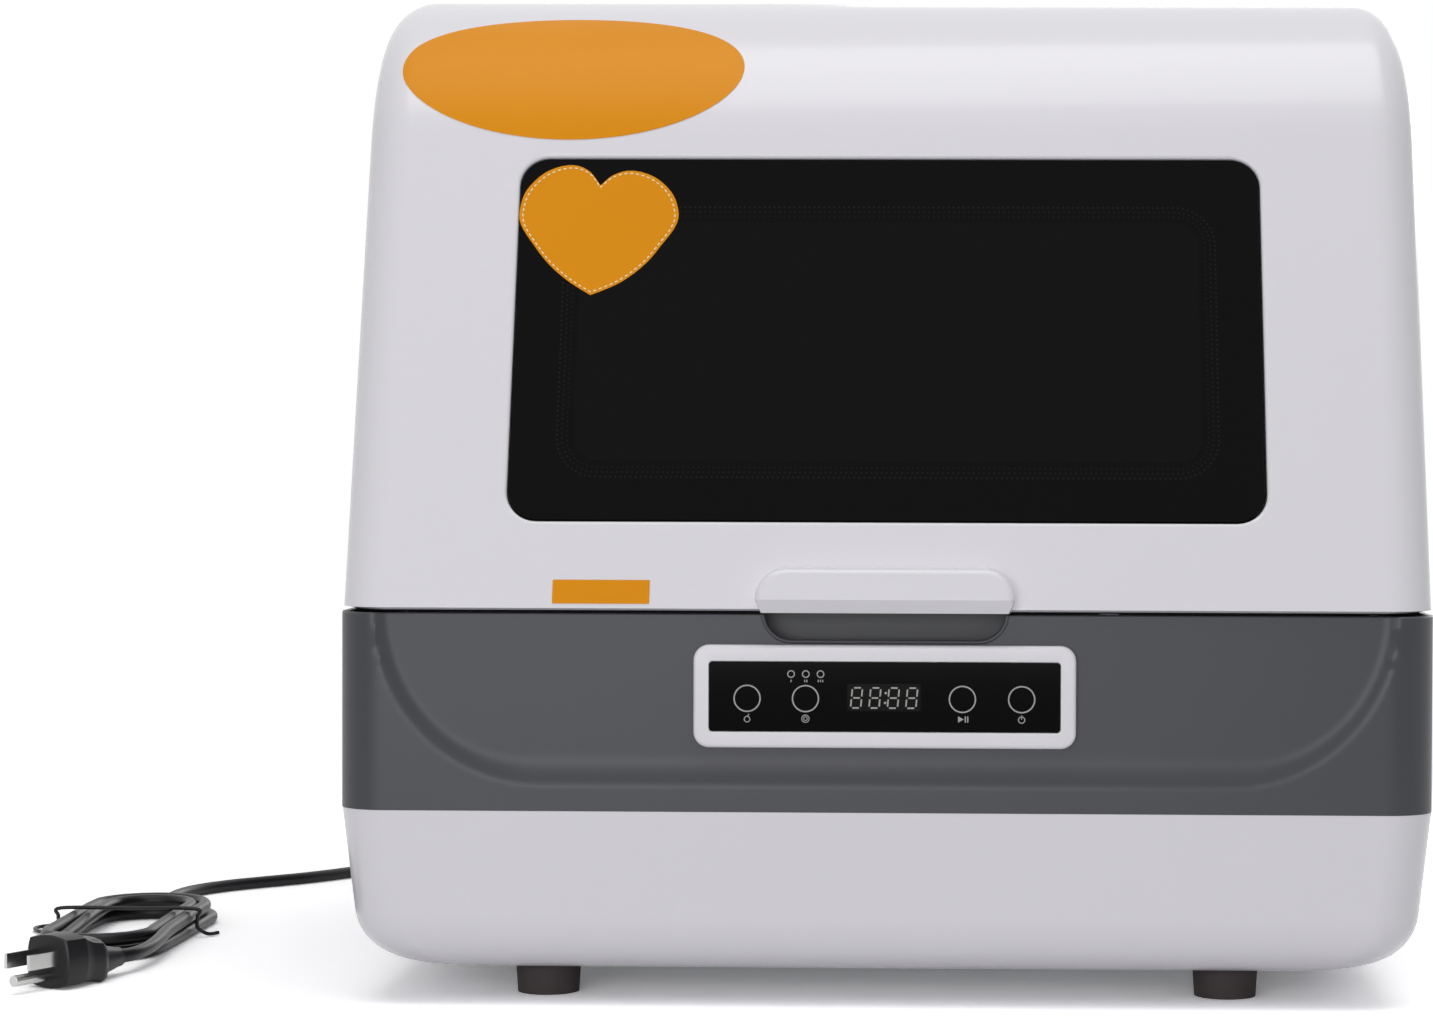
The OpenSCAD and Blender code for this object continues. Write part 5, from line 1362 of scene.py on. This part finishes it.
@dataclass
class Plug:
    """The moulded plug: angular shoulders, a waisted grip and a tapered tail."""

    at: tuple[float, float, float] = (-343.0, -138.0, 11.5)
    turn: float = 28.0

    def build(self) -> None:
        """Lofts the body between its face and its tail."""
        shape = bmesh.new()
        bmesh.ops.create_circle(shape, cap_ends=False, segments=32, radius=1.0)
        place(shape, rotation(90, "X"))
        for vert in shape.verts:
            vert.co.y = -26.0
        stations = [
            (-26.0, 11.2, 11.0), (-25.4, 12.0, 11.4), (-14.0, 12.0, 11.4), (-12.5, 11.2, 10.8), (-7.0, 10.2, 10.0),
            (-2.0, 10.8, 10.4), (1.5, 9.4, 8.8), (3.0, 7.4, 7.2), (16.0, 4.4, 4.4), (PLUG_TAIL, 4.2, 4.2),
        ]
        loop, ring = shape.edges[:], shape.verts[:]
        for number, (y, w, h) in enumerate(stations):
            if number:
                pushed = bmesh.ops.extrude_edge_only(shape, edges=loop)["geom"]
                ring, loop = only(pushed, BMVert), only(pushed, BMEdge)
            for vert in ring:
                fall = self.drop(stations[number - 1][0]) if number else 0.0
                a = math.atan2(vert.co.z - fall, vert.co.x)
                square = 1 / max(abs(math.cos(a)), abs(math.sin(a))) ** (0.55 if y < 2 else 0.0)
                high = self.drop(y) + min(h * math.sin(a) * square, 1.25 * h)
                vert.co = Vector((w * math.cos(a) * square, y, max(high, 0.05 - self.at[2])))
        ends = [e for e in shape.edges if len(e.link_faces) == 1]
        bmesh.ops.holes_fill(shape, edges=ends, sides=0)
        outward(shape)
        spot = Matrix.Translation(self.at) @ rotation(-self.turn, "Z")
        form("plug_grip", place(shape, spot), CORD_PVC, "housing", ("plug_body",))

    @staticmethod
    def drop(y: float) -> float:
        """Height of the plug's axis, which falls to the cord's height at its tail."""
        return -PLUG_DROP * min(max((y + 12) / 15, 0), 1)


@dataclass(frozen=True)
class Dresser:
    """Gives every CAD node that stays in view its finish."""

    finishes: dict[str, Finish]

    def build(self) -> None:
        """Assigns the finishes."""
        for name, finish in self.finishes.items():
            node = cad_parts[name]
            node.data.materials.clear()
            node.data.materials.append(finish.material())
            LOG.info("%s dressed in %s", name, finish.name)


FINISHES = {
    GREY_ABS: ("rear_cover",),
    STAINLESS: ("tub", "coarse_filter", "fine_filter", "heater", "dish_rack", "plate_tines"),
    ZINC: (
        "bottom_plate", "foot_screws", "cover_screws", "hood_screws", "latch_spring", "striker", "hinge_arms",
        "hinge_pins",
    ),
    FOOT_RUBBER: ("feet",),
    SEAL_EPDM: ("door_seal",),
    BLACK_PP: (
        "sump", "spray_post", "spray_cap", "wash_pump", "wash_duct", "sump_duct", "drain_pump", "drain_spigot",
        "fan_housing", "latch_housing", "drain_hose", "fill_hose", "window_gasket",
    ),
    NATURAL_PP: ("spray_arm", "wash_impeller", "drain_impeller", "inlet_valve", "fan_impeller", "latch_pawl"),
    BOARD: ("power_board", "control_board"),
    BLACK_GLASS: ("window_glass",),
    TOUCH_GLASS: ("touch_glass",),
    SMOKED: ("display",),
    LINER_ABS: ("hood_liner",),
    CLEAR_GLASS: ("inner_pane",),
    GREY_PP: ("cutlery_basket",),
    CORD_PVC: ("strain_relief",),
    NICKEL: ("plug_pins",),
}


def main() -> None:
    """Builds the scene in order."""
    logging.basicConfig(level=logging.INFO, format="%(name)s: %(message)s")
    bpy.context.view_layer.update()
    Studio().build()
    Cord().build()
    for part in (Hood(), Rear(), Base(), Belt(), Panel(), Window(), Labels(), Plug()):
        part.build()
        LOG.info("%s built", type(part).__name__)
    Dresser({name: finish for finish, names in FINISHES.items() for name in names}).build()


if __name__ == "__main__":
    main()
